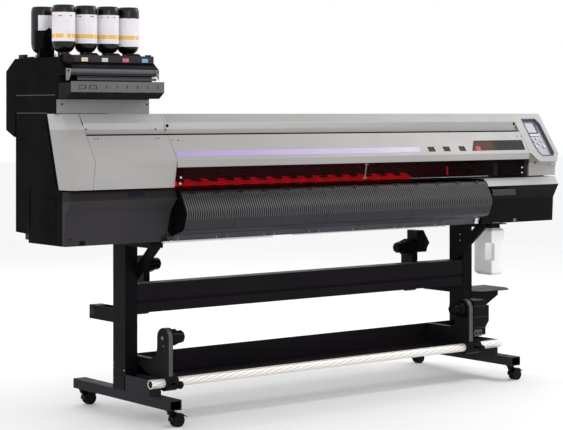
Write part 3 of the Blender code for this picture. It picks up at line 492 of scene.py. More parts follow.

# ---- Pinch comb --------------------------------------------------------------------------------
# Sixteen sprung arms moulded in red plastic, side by side on one shaft. Each has a hooked toe in
# front and a small rubber roller under its tip, which presses the media on the grit roller.

# The comb's red is also set to glow: a painted glow, though the comb is no lamp, which keeps it bright
# behind the dark pane.
place = place_on("red_nylon_painted_glow")
flow = place.noise(30.0, 3)
red_nylon_painted_glow = closed_off(place, Base_Color=flow.between(0xa80008, 0xc80410),
                       Roughness=flow.between(0.32, 0.45), Emission_Color=colour(0xc8000c),
                       Emission_Strength=0.95, Specular_IOR_Level=0.1,
                       Normal=place.noise(900.0, 2).bump(0.15, 0.0002))
arms, toes, rollers = [], [], []
hook = np.array([(0.0, 0.0), (0.046, 0.0), (0.046, 0.00744), (0.036, 0.00868), (0.03, 0.01457),
                 (0.01, 0.01798), (-0.004, 0.01581), (0.004, 0.0124), (0.01, 0.0093), (0.004, 0.00713)])
PITCH = 0.0815
for start in 0.505 - PITCH * np.arange(16):
    toes.append(bar("Y", hook + (start - 0.008, 0.9035), -0.1235, -0.112, 0.0008, 0.0015))
    arms.append(bar("X", [(-0.1225, 0.8925), (-0.1225, 0.9045), (-0.08, 0.9055), (0.001, 0.905),
                          (0.003, 0.898), (-0.001, 0.893), (-0.06, 0.8945), (-0.1, 0.8925)], start,
                    start + 0.03, 0.0008, 0.002))
    rollers.append(lathe("X", (-0.1045, 0.89285),
                         [(start + 0.004, 0.0075), (start + 0.006, 0.0083), (start + 0.024, 0.0083),
                          (start + 0.026, 0.0075)], 20))
spine = [bar("X", rect(-0.1225, 0.8935, -0.114, 0.905), -0.8, 0.555, 0.0008, 0.001),
         lathe("X", (-0.005, 0.898), [(-0.8, 0.0045), (0.555, 0.0045)], 20)]
piece("pinch_comb", red_nylon_painted_glow, spine + arms + toes, "pinch_roller_bar", ["pinch_roller_bar"])
rubber = moulded("roller_rubber", 0x2a2a2c, 0.75, 0.5)
piece("pinch_rollers", rubber, rollers, "pinch_roller_bar")

# ---- Head carriage -----------------------------------------------------------------------------
# The print heads' black hood on its rail, with a lamp block on either side and a cable chain's
# bracket on top.

carriage_black = moulded("carriage_black", 0x070708, 0.4, gloss=0.1)
softened("carriage", carriage_black, 0.002, 3)
piece("carriage_lamps", powder_coat("lamp_grey", 0x6a6a70, rough=0.35, metallic=0.8),
      [block((x, -0.2835, 0.9045), (x + 0.028, -0.15, 0.96), 0.0015, 0.003) for x in (0.9005, 1.2015)],
      "carriage")

# ---- Apron -------------------------------------------------------------------------------------
# The curved guide below the window: seven moulded lengths side by side, ribbed over the bulge so
# that warm media glides off, plain below, and screwed along the bottom. A plate closes each end.

apron_line = rounded([(-0.297, 0.885), (-0.322, 0.885), (-0.344, 0.845), (-0.364, 0.808), (-0.364, 0.793),
                      (-0.3455, 0.736), (-0.298, 0.722), (-0.275, 0.716), (-0.27, 0.6945)], 0.016, 7,
                     closed=False)
steps = np.linalg.norm(np.diff(apron_line, axis=0), axis=1)
reach = np.concatenate([[0], np.cumsum(steps)])
evenly = np.sort(np.concatenate([np.linspace(0, reach[-1], 30), reach[1:-1:3]]))
line = np.stack([np.interp(evenly, reach, apron_line[:, k]) for k in (0, 1)], 1)
tangent = np.gradient(line, axis=0)
tangent /= np.linalg.norm(tangent, axis=1, keepdims=True)
outward = np.stack([tangent[:, 1], -tangent[:, 0]], 1)
APRON_LEFT, LENGTH = -0.802, 0.2307
RIB = LENGTH / 22
ribbed = np.clip((line[:, 1] - 0.777) / 0.004, 0, 1) * np.clip((0.8835 - line[:, 1]) / 0.004, 0, 1)
lengths = []
for start in APRON_LEFT + LENGTH * np.arange(7):
    x = np.linspace(start + 0.0005, start + LENGTH - 0.0005, 155)
    height = 0.0014 * np.clip(0.5 - 0.9 * np.cos((x - start) * 2 * np.pi / RIB), 0, 1)
    skin = line[None] + outward[None] * (height[:, None] * ribbed[None])[..., None] - outward * 0.0014
    inner = np.broadcast_to(line - outward * 0.0034, skin.shape)[:, ::-1]
    ring = np.concatenate([skin, inner], 1)
    lengths.append(skinned(spread("X", x[:, None], ring[..., 0], ring[..., 1])))
place = place_on("apron_grey")
crest = ((place.axis("X") - APRON_LEFT) * (2 * math.pi / RIB)).math("COSINE") * -0.5 + 0.5
on_bulge = (place.axis("Z") > 0.778) * (place.axis("Z") < 0.8815)
cloud = place.noise(5.0, 4)
plain = cloud.between(0x252329, 0x2f2c33)
# Below 0.7345 m the plain face is painted lighter: painted light that offsets the shade on its lower,
# downward-facing part.
plain = (place.axis("Z") < 0.7345).mixed(plain, cloud.between(0x3c3940, 0x47444c))
# Near the top of the bulge the ribs are painted darker, fully at the left and little at the right: painted
# shade, with the right end left lit.
height = (place.axis("Z") - 0.825) / 0.035
shaded = ((0.55 - place.axis("X")) / 0.9).math("MAXIMUM", 0.15).math("MINIMUM", 1.0)
upper = height.math("MAXIMUM", 0.0).math("MINIMUM", 1.0) * shaded
# The ribs are painted near black in the grooves and grey on the crests: painted shade and painted highlight
# over the real ridges.
ribs = crest.ramp((0.25, colour(0x040405)), (0.62, colour(0x272729)), (0.95, colour(0x5c5c5e)))
joint = (((place.axis("X") - APRON_LEFT) / LENGTH).math("FRACT") - 0.5).math("ABSOLUTE") > 0.4945
ribs = upper.mixed(ribs, crest.ramp((0.4, colour(0x020202)), (0.95, colour(0x121213))))
piece("ribbed_apron", closed_off(place,
                                 Base_Color=joint.mixed(on_bulge.mixed(plain, ribs), colour(0x040404)),
                                 Specular_IOR_Level=0.2, Roughness=cloud.between(0.32, 0.42),
                                 Normal=place.noise(600.0, 2).bump(0.12, 0.0002)), lengths,
      replaced=["apron"], sharp=50)
section = np.concatenate([apron_line[1:-1] + (0.0005, 0), [(-0.266, 0.696), (-0.266, 0.884)]])
ends_black = moulded("end_black", 0x0a0a0b, 0.34)
piece("apron_ends", ends_black, [bar("X", section, *span, 0.0005)
                                 for span in ((-0.8055, -0.8027), (0.8133, 0.816))])
gusset = [(-0.804, 0.83), (-0.8085, 0.81), (-0.815, 0.785), (-0.8235, 0.735), (-0.819, 0.7255),
          (-0.799, 0.7215), (-0.799, 0.83)]
piece("apron_gusset", ends_black, [bar("Y", gusset, -0.2765, -0.269, 0.0006, 0.003)])
piece("apron_foot_end", powder_coat("foot_grey", 0x38353b, rough=0.4),
      [bar("X", [(-0.2748, 0.696), (-0.27, 0.696), (-0.27, 0.716), (-0.2748, 0.714)], -0.848, -0.803,
           0.0004)])
piece("apron_foot_catch", ends_black,
      [block((-0.852, -0.279, 0.6975), (-0.831, -0.2745, 0.7105), 0.0008, 0.002)])
seams = APRON_LEFT + LENGTH * np.arange(1, 7)
foot_screws = studs([(x + s * 0.026, -0.271, 0.7015) for x in seams for s in (-1, 1)]
                    + [(-0.779, -0.271, 0.7015), (0.786, -0.271, 0.7015)], (0, -1, 0.2), 0.0032)
piece("apron_screws", bolt_steel, foot_screws)
slots = [bar("X", [(-0.3305, 0.8805), (-0.3255, 0.8865), (-0.3245, 0.886), (-0.3295, 0.88)], x - 0.01,
             x + 0.01, 0.0002) for x in APRON_LEFT + LENGTH * (np.arange(14) / 2 + 0.25)]
piece("apron_slots", moulded("slot_black", 0x050506), slots)
place = place_on("bright_strip")
brushed = place.stretched(1, 30, 30).noise(60.0, 3)
bright = closed_off(place, Base_Color=brushed.between(0xc4c5c9, 0xe9eaee), Metallic=0.9,
                    Roughness=brushed.between(0.22, 0.34))
piece("apron_foot_strip", bright,
      [bar("X", rect(-0.2745, 0.6875, -0.26, 0.6935), -0.845, -0.325, 0.0004),
       bar("X", rect(-0.2735, 0.6905, -0.26, 0.6935), -0.215, 0.62, 0.0004),
       bar("X", [(-0.2765, 0.696), (-0.2735, 0.696), (-0.28, 0.72), (-0.283, 0.72)], 0.79, 0.8125, 0.0004)])
guide_black = powder_coat("sheet_black", 0x0a0a0c, grain=0.3, rough=0.46)
softened("rear_guide", guide_black)

# ---- Covers of the print unit ------------------------------------------------------------------
# Folded sheet covers in satin light grey: two end caps, two fixed covers along the top and two
# covers hinged at their top edge. Small black screws hold the fixed ones.

place = place_on("satin_grey")
cloud = place.stretched(0.35, 1, 1).noise(4.0, 4)
fleck = place.noise(900.0, 1)
tone = (cloud * 0.8 + fleck * 0.2).ramp((0.32, colour(0x9a9897)), (0.68, colour(0xa6a4a3)))
# A lighter copy of the grey is painted light: it goes on the top covers' low facet, more towards the left,
# and on the covers left of x -0.8065 above 1.1185 m, faces that take more light.
painted_light_tone = (cloud * 0.8 + fleck * 0.2).ramp((0.32, colour(0xb0aead)), (0.68, colour(0xbbb9b8)))
low_face = (place.axis("Z") > 1.1185) * (place.axis("Z") < 1.1435)
left_part = ((0.6 - place.axis("X")) / 1.2).math("MAXIMUM", 0.0).math("MINIMUM", 1.0)
at_left = (place.axis("X") < -0.8065) * (place.axis("Z") > 1.1185)
tone = (low_face * left_part).math("MAXIMUM", at_left * 0.8).mixed(tone, painted_light_tone)
satin = place.noise(14.0, 5, 0.6).between(0.34, 0.44)
satin_grey = closed_off(place, Base_Color=tone, Roughness=satin, Specular_IOR_Level=0.2,
                        Normal=place.noise(520.0, 2).bump(0.12, 0.0003))
for node in ("left_end_cap", "right_end_cap", "left_top_cover", "center_top_cover", "left_front_cover",
             "front_cover"):
    softened(node, satin_grey, 0.0011)
cheek = [(-0.142, 1.174), (-0.203, 1.174), (-0.344, 0.967), (-0.306, 0.951), (-0.305, 0.9), (-0.224, 0.9)]
piece("right_cap_cheek", satin_grey, [bar("X", cheek, 1.089, 1.0905, 0.0003)])
wall = [[(x - 0.001, front, z), (x + 0.001, front, z), (x + 0.001, -0.3085, z), (x - 0.001, -0.3085, z)]
        for x, front, z in ((1.129, -0.3475, 0.96), (1.0955, -0.3205, 1.002))]
piece("right_cap_corners", satin_grey,
      [skinned(np.array(wall) + (0, DATUM, 0)),
       bar("Y", [(1.0905, 0.942), (1.129, 0.942), (1.129, 0.96), (1.0945, 1.003), (1.0905, 1.003)], -0.3105,
           -0.308, 0.0003), bar("Y", [(1.233, 0.942), (1.269, 0.942), (1.269, 0.992), (1.263, 0.993),
                                      (1.233, 0.96)], -0.3105, -0.308, 0.0003)])
dark_screw = powder_coat("blacked_screws", 0x1b1b1d, grain=0.1, rough=0.35, metallic=0.6)
face = (0, -0.996, 0.086)
small = studs([(x, -0.2371, z) for x, z in ((-1.163, 1.12), (-0.858, 1.119), (-0.811, 1.117),
                                            (1.083, 1.117))], face, 0.003)
large = studs([(x, -0.2358, 1.1315) for x in (-0.804, 1.076)], face, 0.0062)
SLOPE, UP_SLOPE = (0, -0.8269, 0.5623), (0, 0.5623, 0.8269)
small += studs([(x, -0.2102, 1.168) for x in (-1.119, -0.968, -0.62, -0.2, 0.3, 0.8)], SLOPE, 0.0017)
piece("cover_screws", dark_screw, small + large)
for cover, name, xs, z in (("left_front_cover", "left_front_screws", (-1.145, -1.132, -0.875, -0.862),
                            1.085), ("front_cover", "front_cover_screws", (-0.806, -0.779, 1.058, 1.085),
                                     1.076)):
    on_face = -0.204 - 0.68 * (1.177 - z) - 0.0002
    piece(name, dark_screw, studs([(x, on_face, z) for x in xs], SLOPE, 0.0024), cover)


def on_slope(shell, depth=0.0, x=1.19, up=0.0):
    """Lays a flat shell on the covers' front slope: its Y runs up the slope and its Z outwards."""
    flat = shell[0] - (0, DATUM, 0)
    turn = np.array([RIGHT, UP_SLOPE, SLOPE])
    foot = np.array([x, -0.2733 + DATUM, 1.075]) + up * turn[1] + depth * turn[2]
    return flat @ turn + foot, shell[1], shell[2]


place = place_on("lilac_film")
fade = (place.axis("X") + 0.81) / 1.25
lilac = (fade + place.noise(8.0, 3) * 0.1).ramp((0.0, colour(0xa592c0)), (0.5, colour(0xab9ac2)),
        (1.0, colour(0xa398b1)))
piece("cover_stripe", closed_off(place, Base_Color=lilac, Roughness=place.noise(20.0, 3).between(0.3, 0.4)),
      [on_slope(bar("Z", rect(-2.0, -0.0735, -0.752, -0.046), 0.0, 0.0005, 0.0002), 0.0001)],
      "front_cover")

place = place_on("smoked_acrylic")
across = (place.axis("X") - 0.4) / 0.7
smoke = (across + place.noise(12.0, 3) * 0.06).ramp((0.05, colour(0x3d191b)), (0.45, colour(0x3c211a)),
        (0.7, colour(0x472614)), (0.76, colour(0x060404)))
smoked = closed_off(place, Base_Color=smoke, Roughness=place.noise(40.0, 2).between(0.05, 0.1),
                    Specular_IOR_Level=0.03)
panes = [rect(low, -0.075, high, -0.043) for low, high in ((0.481, 0.527), (0.57, 0.616), (0.663, 0.708))]
panes.append([(0.734, -0.075), (1.077, -0.075), (1.083, -0.015), (0.771, -0.015)])
piece("sight_panes", smoked, [on_slope(bar("Z", np.array(pane) - (1.19, 0), -0.0045, -0.0027, 0.0003))
                              for pane in panes], "front_cover")
place = place_on("signal_red")
piece("sight_lamp", closed_off(place, Base_Color=place.noise(50.0, 3).between(0x98080c, 0xb01414),
                               Roughness=0.2, Specular_IOR_Level=0.1),
      [on_slope(bar("Z", rect(-0.42, -0.068, -0.391, -0.047), -0.0026, -0.002, 0.0002))],
      "front_cover")

# ---- Safety window -----------------------------------------------------------------------------
# A long pane of red acrylic behind the wide cover's lip, which stops the lamps' light. Screws hold
# it at the ends and a bracket near the middle.

place = place_on("red_acrylic")
dust = place.stretched(0.4, 1, 1).noise(25.0, 4)
# The pane is painted darker towards the right: painted shade of the dim space behind it.
darker_right_shade = ((place.axis("X") - 0.1) / 0.75).ramp((0.0, (0, 0, 0, 1)), (1.0, (1, 1, 1, 1)))
red_acrylic = closed_off(place, Base_Color=darker_right_shade.mixed(dust.between(0x24080a, 0x2e0b0d),
        colour(0x0c0203)), Roughness=dust.between(0.06, 0.11), Alpha=0.45, Specular_IOR_Level=0.04)
piece("window_pane", red_acrylic,
      [bar("X", rect(-0.3195, 0.897, -0.3155, 0.996), -0.8145, 1.084, 0.0006, 0.0006)],
      "front_cover", ["window"])
white_head = powder_coat("white_screws", 0xd8d4d2, grain=0.1, rough=0.3)
piece("window_screws", white_head,
      studs([(x, -0.3197, z) for x, z in ((-0.7985, 0.9368), (-0.801, 0.914), (1.041, 0.938),
                                          (1.041, 0.915))], FRONT, 0.0042), "front_cover")
strap = [bar("Y", [(0.114, 0.908), (0.119, 0.908), (0.13, 0.9745), (0.125, 0.9745)], -0.3212, -0.3197,
             0.0003), bar("Y", rect(0.105, 0.913, 0.129, 0.9165), -0.3216, -0.3197, 0.0003),
         bar("Y", rect(0.117, 0.966, 0.139, 0.9695), -0.3216, -0.3197, 0.0003)]
place = place_on("pink_steel")
piece("window_strap", closed_off(place, Base_Color=place.noise(80.0, 3).between(0x6f5253, 0x8c7373),
                                 Metallic=0.3, Roughness=0.35), strap, "front_cover")
piece("window_latch", moulded("latch_red", 0x8c0a10, 0.3),
      [block((0.5765, -0.3225, 0.916), (0.5865, -0.3197, 0.95), 0.0006, 0.001)], "front_cover")

# ---- Lower covers and clamp lever --------------------------------------------------------------
# Charcoal covers close the ends under the window. The left one's top bevel is a shade darker and browner
# and has a latch; the right one's is painted light grey. A glossy lever lifts the pinch comb.

def two_tone(name, upper, lower, level):
    """Sprayed paint in one colour above a level and another below it."""
    place = place_on(name)
    cloud = place.noise(4.0, 4)
    upper, lower = (cloud.between(*shades(code, 0.9, 1.1)) for code in (upper, lower))
    tone = (place.axis("Z") > level).mixed(lower, upper)
    return closed_off(place, Base_Color=tone, Normal=place.noise(480.0, 2).bump(0.25, 0.0004),
                      Roughness=place.noise(12.0, 5).between(0.36, 0.48), Specular_IOR_Level=0.05)


softened("left_lower_cover", two_tone("charcoal_left", 0x232120, 0x353336, 0.8603), 0.0015)
softened("right_lower_cover", two_tone("charcoal_right", 0xa8a7a6, 0x0d0c0e, 0.8598), 0.0015)
latch = bar("X", [(-0.2985, 0.884), (-0.2972, 0.885), (-0.3042, 0.873), (-0.3055, 0.8722)], -1.022, -0.949,
            0.0004)
piece("left_latch", moulded("latch_blue_black", 0x101626, 0.25), [latch])
piece("cover_catches", powder_coat("catch_grey", 0x6d6d72, grain=0.1, rough=0.3),
      [block((1.012, -0.2945, 0.697), (1.03, -0.2915, 0.711), 0.0005),
       block((0.885, -0.293, 0.6945), (0.93, -0.2905, 0.6985), 0.0005)])
piece("left_catch", ends_black, [block((-1.208, -0.2665, 0.696), (-1.184, -0.2622, 0.712), 0.0005, 0.002)])
piece("lower_screws", dark_screw,
      studs([(x, -0.293, z) for x in (0.905, 1.24) for z in (0.72, 0.78)], FRONT, 0.003)
      + studs([(x, -0.2645, z) for x in (-1.245, -0.83) for z in (0.72, 0.78)], FRONT, 0.003))
softened("clamp_lever", moulded("lever_gloss", 0x1c1b1d, 0.2, 0.05, 0.5), 0.0022, 3)

# ---- Sides and back of the print unit ----------------------------------------------------------
# Black powder-coated sheet. Each side carries a service door and a row of louvres; the back has two
# fans behind wire guards, the mains inlet, a breaker and two data sockets.

place = place_on("side_black")
y, z = place.axis("Y"), place.axis("Z")
# Two lines along the left side's seams are painted lighter grey: painted highlight where their edges catch
# the light.
seam = ((z - 1.246).math("ABSOLUTE") < 0.0013) * (y < 0.106) * (y > -0.183)
seam = seam + ((z - 1.1795).math("ABSOLUTE") < 0.0012) * (y < 0.1) * (y > -0.128)
seam = seam * (place.axis("X") < -1.27)
cloud = place.noise(3.0, 4)
on_top = (z > 1.176) * (z < 1.18) * (place.axis("X") > 1.0)
sheet = seam.mixed(cloud.between(0x060506, 0x0a0909), colour(0x5c595e))
side_black = closed_off(place, Base_Color=on_top.mixed(sheet, cloud.between(0x9a9897, 0xa6a4a3)),
                        Roughness=place.noise(10.0, 5).between(0.42, 0.56), Specular_IOR_Level=0.02,
                        Normal=place.noise(500.0, 2).bump(0.3, 0.0004))
side = [(-0.1395, 1.177), (0.097, 1.177), (0.097, 0.73), (0.0, 0.726), (0.0, 0.694), (-0.2435, 0.694),
        (-0.2435, 0.893), (-0.223, 0.8985)]
door = [(-0.133, 1.15), (0.085, 1.15), (0.085, 0.745), (-0.01, 0.745), (-0.01, 0.905), (-0.205, 0.905)]
for name, sign, inner in (("left", -1, -1.1745), ("right", 1, 1.0885)):
    sheets = [bar("X", side, *sorted((sign * 1.2695, sign * 1.2678)), 0.0004),
              bar("X", door, *sorted((sign * 1.2708, sign * 1.2692)), 0.0006, 0.006),
              block((min(sign * 1.269, inner), -0.139, 1.175), (max(sign * 1.269, inner), 0.0965, 1.177))]
    sheets += [bar("X", [(-0.2, z), (-0.08, z), (-0.082, z + 0.004), (-0.198, z + 0.004)],
                   *sorted((sign * 1.2708, sign * 1.2692)), 0.0006) for z in np.arange(0.715, 0.88, 0.012)]
    piece(name + "_side", side_black, sheets, replaced=[name + "_side_panel"])
    spots = [(sign * 1.2693, y, z) for y, z in ((-0.12, 1.163), (0.08, 1.163), (-0.215, 0.88),
            (-0.23, 0.705), (-0.015, 0.705), (0.09, 0.738))]
    spots += [(sign * 1.2706, y, z) for y, z in ((0.075, 1.14), (0.075, 0.955), (0.075, 0.755),
            (-0.12, 1.1), (-0.18, 0.92), (0.002, 0.755))]
    piece(name + "_side_screws", dark_screw, studs(spots, (sign, 0, 0), 0.0028, 0.0003))
back_black = powder_coat("back_black", 0x090809, grain=0.3, rough=0.48)
softened("rear_cover", back_black)
slats = [bar("X", [(0.0968, z), (0.101, z + 0.001), (0.101, z + 0.003), (0.0968, z + 0.0065)], x - 0.06,
             x + 0.06, 0.0006) for x in (-0.6, 0.0, 0.6) for z in np.arange(0.985, 1.065, 0.01)]
slats += [bar("Y", rect(x, z, x + 0.09, z + 0.05), 0.0968, 0.0985, 0.0006, 0.004)
          for x, z in ((0.93, 0.955), (-1.18, 0.955))]
slats += [bar("X", rect(0.0968, z, 0.0985, z + 0.0015), -1.228, 1.228, 0.0003) for z in (0.932, 1.143)]
piece("back_louvres", back_black, slats)
turn = np.radians(np.linspace(0, 360, 49))[:-1]
FANS_X, FANS_Z = (-0.95, 0.78), 1.055
guards = []
for x in FANS_X:
    for radius in (0.012, 0.022, 0.032, 0.042, 0.052):
        rim = rect(radius - 0.0008, 0.099, radius + 0.0008, 0.1006)
        ring = np.array([np.stack([x + r * np.cos(turn), FANS_Z + r * np.sin(turn)], 1)
                         for r, _ in rim + rim[:1]])
        depth = np.array([d for _, d in rim + rim[:1]])[:, None]
        guards.append(skinned(spread("Y", depth, ring[..., 0], ring[..., 1]), ends=False))
    guards += [bar("Y", [(x + s * 0.052 * a, FANS_Z + s * 0.052 * b)
                         for s, a, b in ((-1, ca - nx, sa - ny), (1, ca + nx, sa + ny),
                                         (1, ca - nx, sa - ny), (-1, ca + nx, sa + ny))], 0.0978, 0.099,
                   0.0003) for ca, sa, nx, ny in ((0.707, 0.707, -0.012, 0.012),
            (0.707, -0.707, 0.012, 0.012))]
place = place_on("guard_wire")
wire = closed_off(place, Base_Color=place.noise(120.0, 2).between(0x9a9a9c, 0xc9c9cc), Metallic=1.0,
                  Roughness=0.3)
piece("fan_guards", wire, guards)
discs = [lathe("Y", (x, FANS_Z), [(0.0966, 0.056), (0.0975, 0.056), (0.0976, 0.0535), (0.0972, 0.053),
                                  (0.0972, 0.018), (0.0982, 0.017)], 48) for x in FANS_X]
piece("fans", moulded("fan_black", 0x0c0c0d, 0.5), discs)
sockets = [block((x - w, 0.0966, z - h), (x + w, 0.101, z + h), 0.0008, 0.001)
           for x, z, w, h in ((-1.15, 0.98, 0.014, 0.011), (-1.115, 0.98, 0.01, 0.011),
                              (0.96, 0.98, 0.008, 0.007), (0.99, 0.98, 0.007, 0.004))]
piece("back_sockets", moulded("socket_black", 0x0b0b0c, 0.45), sockets)
piece("back_screws", dark_screw, studs([(x, 0.0972, z) for x in np.linspace(-1.21, 1.21, 9)
                                        for z in (1.16, 0.94)], BACK, 0.003))

# ---- Control panel -----------------------------------------------------------------------------
# A film-covered plate in a slanted bezel, with a liquid crystal display, four lamps beside it and
# moulded keys, the arrow keys marked with plain triangles.

opening = np.array([(-0.05, 0.092), (0.036, 0.092), (0.051, 0.066), (0.051, -0.09), (0.038, -0.103),
                    (-0.028, -0.103), (-0.04, -0.09), (-0.05, -0.05)])
rings = np.array([np.column_stack([drawn_in(opening, inset), np.full(8, depth)])
                  for inset, depth in ((0.0006, -0.0115), (0.0006, 0.0004), (-0.003, 0.0004),
                                       (-0.003, 0.0016), (0.001, 0.002), (0.0042, -0.01), (0.0042, -0.0115),
                                       (0.0006, -0.0115))])
bezel = skinned(rings + (0, DATUM, 0), ends=False)
piece("panel_bezel", moulded("bezel_violet_grey", 0x5a5364, 0.35), [on_slope(bezel)])
place = place_on("panel_film")
film = place.noise(30.0, 3)
film_finish = closed_off(place, Base_Color=film.between(0x85838b, 0x918f97),
                         Roughness=film.between(0.3, 0.42), Normal=place.noise(1500.0, 2).bump(0.2, 0.0002))
softened("control_panel", film_finish, 0.0004)


def flat(x0, y0, x1, y1, depth, height, corner=0.0, edge=0.0003):
    """A low plate on the panel, from one corner to the other."""
    return on_slope(bar("Z", rect(x0, y0, x1, y1), 0.0, height, edge, corner), depth)


piece("display_frame", moulded("frame_dark", 0x2b2a31, 0.3),
      [flat(-0.0425, 0.0215, 0.0265, 0.0815, -0.0119, 0.0012, 0.003)])
place = place_on("display_glass")
row = (place.axis("Z") / 0.0048).math("FRACT")
dim = place.noise(260.0, 2)
screen = (dim * 0.5 + row * 0.12).ramp((0.2, colour(0x9a9aa4)), (0.5, colour(0xb0b0b9)))
piece("display", closed_off(place, Base_Color=screen, Roughness=0.12, Specular_IOR_Level=0.1),
      [flat(-0.0385, 0.0255, 0.019, 0.0775, -0.0107, 0.001, 0.001)])
piece("panel_lamps", moulded("lamp_dark", 0x1d1c22, 0.2),
      [flat(0.03, y, 0.0335, y + 0.0085, -0.0119, 0.0014, 0.0008) for y in (0.029, 0.041, 0.053, 0.065)])
key_cap = moulded("key_pale", 0xcfced8, 0.4, 0.2)
for key, (x, y), points in (("key_up", (-0.003, -0.0065), (-0.0022, -0.0012, 0.0022, -0.0012, 0, 0.002)),
                            ("key_left", (-0.025, -0.0195), (0.0014, 0.002, -0.002, 0, 0.0014, -0.002)),
                            ("key_right", (0.019, -0.0195), (-0.0014, -0.002, 0.002, 0, -0.0014, 0.002)),
                            ("key_down", (-0.003, -0.0325), (0.0022, 0.0012, -0.0022, 0.0012, 0, -0.002))):
    softened(key, key_cap, 0.0006, 3)
    mark = np.array(points).reshape(3, 2)
    piece(key + "_mark", moulded(key + "_ink", 0x2c2b33, 0.5),
          [on_slope(bar("Z", mark, 0, 0.0002, 0.0001), -0.008, 1.19 + x, y)], key)
for key in ("key_end", "key_enter", "function_keys"):
    softened(key, key_cap, 0.0006, 3)
splits = [on_slope(bar("Z", rect(x - 0.0003, -0.0036, x + 0.0003, 0.0036), 0, 0.0002, 0.00005), -0.008,
                   1.187, 0.012) for x in (-0.01, 0.01)]
piece("function_key_splits", moulded("split_ink", 0x55545e, 0.5), splits, "function_keys")

# ---- Ink unit ----------------------------------------------------------------------------------
# A black sheet cabinet with a hinged deck in front, a grey steel bar and a dark mouth below it, and
# a tray whose slots take each bottle's data chip. A grey bracket stands it on the print unit.

softened("ink_unit_casing", side_black, 0.0014)
charcoal = moulded("deck_charcoal", 0x383335, 0.45)
piece("deck_fascia", charcoal, [bar("X",
                                    [(-0.238, 1.3662), (-0.238, 1.393), (-0.229, 1.3945), (-0.2285, 1.385),
                                     (-0.235, 1.3662)], -1.224, -0.869, 0.0008, 0.0015)])
piece("deck_slope", moulded("slope_black", 0x171315, 0.4),
      [bar("X", [(-0.237, 1.3668), (-0.27, 1.344), (-0.269, 1.3415), (-0.235, 1.365)], -1.24, -0.866,
           0.0006)])
patches = (("pale_yellow", 0xe9dfae, -1.17), ("plain_white", 0xd3d3d6, -1.083),
           ("magenta", 0xd2608f, -0.992), ("sky_blue", 0x7fb6da, -0.906))
for name, code, x in patches:
    place = place_on("label_" + name)
    dots = place.stretched(1, 1, 0.5).noise(420.0, 2)
    rows = ((place.axis("Z") - 1.376).math("ABSOLUTE") < 0.0022) * (dots > 0.5)
    ground = place.noise(60.0, 2).ramp((0.3, colour(code)), (0.7, tuple(np.array(colour(code)) * 0.93)))
    piece("deck_label_" + name, closed_off(place, Base_Color=(rows * 0.45).mixed(ground, colour(0x55555c)),
                                           Roughness=place.noise(90.0, 2).between(0.4, 0.55)),
          [bar("Y", rect(x - 0.0135, 1.3695, x + 0.0135, 1.3835), -0.2386, -0.2379, 0.0001, 0.001)])
place = place_on("deck_bar_steel")
# The bar is painted in bands by height, dark below and light grey near the top: painted sheen for its
# glossy highlights.
rise = (place.axis("Z") - 1.316) / 0.027
sheen = (rise + place.stretched(0.3, 1, 8).noise(40.0, 3) * 0.12)
bar_painted_sheen = sheen.ramp((0.05, colour(0x2a2c31)), (0.35, colour(0x161c26)), (0.6, colour(0x55575b)),
                      (0.95, colour(0x626469)))
bar_steel = closed_off(place, Base_Color=bar_painted_sheen, Metallic=0.5, Roughness=0.35)
piece("deck_bar", bar_steel, [bar("X",
                                  [(-0.2715, 1.317), (-0.2702, 1.3418), (-0.2678, 1.3425),
                                   (-0.2675, 1.317)], -1.268, -0.8665, 0.0006, 0.001)])
plate_grey = powder_coat("plate_grey", 0x868687, grain=0.2, rough=0.4)
piece("deck_bar_ends", plate_grey,
      [bar("Y", [(-1.2695, 1.2985), (-1.258, 1.2985), (-1.251, 1.315), (-1.247, 1.341), (-1.2695, 1.343)],
           -0.2728, -0.2712, 0.0003, 0.002),
       bar("Y", [(-0.876, 1.315), (-0.8655, 1.3), (-0.8655, 1.343), (-0.88, 1.341)], -0.2728, -0.2712,
           0.0003, 0.002)])
piece("deck_screws", dark_screw, studs([(-1.26, -0.2728, 1.334), (-0.87, -0.2728, 1.3335)], FRONT, 0.0036)
      + studs([(-0.876, -0.207, 1.212)], FRONT, 0.0036) + studs([(-1.248, -0.207, 1.212)], FRONT, 0.0036))
piece("mouth_strip", powder_coat("strip_grey", 0x5d5b5b, grain=0.1, rough=0.3, metallic=0.6),
      [bar("X", rect(-0.262, 1.2995, -0.26, 1.3095), -1.215, -0.87, 0.0004),
       bar("X", rect(-0.26, 1.311, -0.256, 1.314), -1.215, -0.87, 0.0004)])
softened("ink_tray", moulded("tray_dark", 0x131115, 0.42))
tray_grey = powder_coat("tray_grey", 0x68696b, grain=0.2, rough=0.42)
piece("tray_face", tray_grey, [bar("Y", rect(-1.269, 1.2555, -0.8642, 1.295), -0.3062, -0.3048, 0.0004,
                                   0.002)])
frames = []
for x0, x1 in ((-1.234, -1.206), (-1.191, -1.16)):
    frames += [bar("Y", rect(a, c, b, d), -0.3066, -0.306, 0.0001)
               for a, b, c, d in ((x0, x1, 1.28, 1.2812), (x0, x1, 1.267, 1.2682),
                                  (x0, x0 + 0.0018, 1.2682, 1.28), (x1 - 0.0026, x1, 1.2682, 1.28))]
frames += [bar("Y", rect(x - 0.0011, 1.269, x + 0.0011, 1.2825), -0.3066, -0.306, 0.0001)
           for x in (-1.118, -1.073, -1.028, -0.983, -0.938, -0.893)]
piece("tray_slots", moulded("slot_ink", 0x141317, 0.5), frames)
piece("unit_bracket", plate_grey,
      [bar("Y", rect(-1.27, 1.1785, -0.8665, 1.23), -0.207, -0.2052, 0.0005, 0.001)])
bottle_x = (-1.121, -1.025, -0.935)
catches = [bar("Y", [(x - 0.026, 1.386), (x + 0.03, 1.386), (x + 0.012, 1.402), (x - 0.02, 1.403)], -0.225,
               -0.195, 0.0012, 0.003) for x in bottle_x]
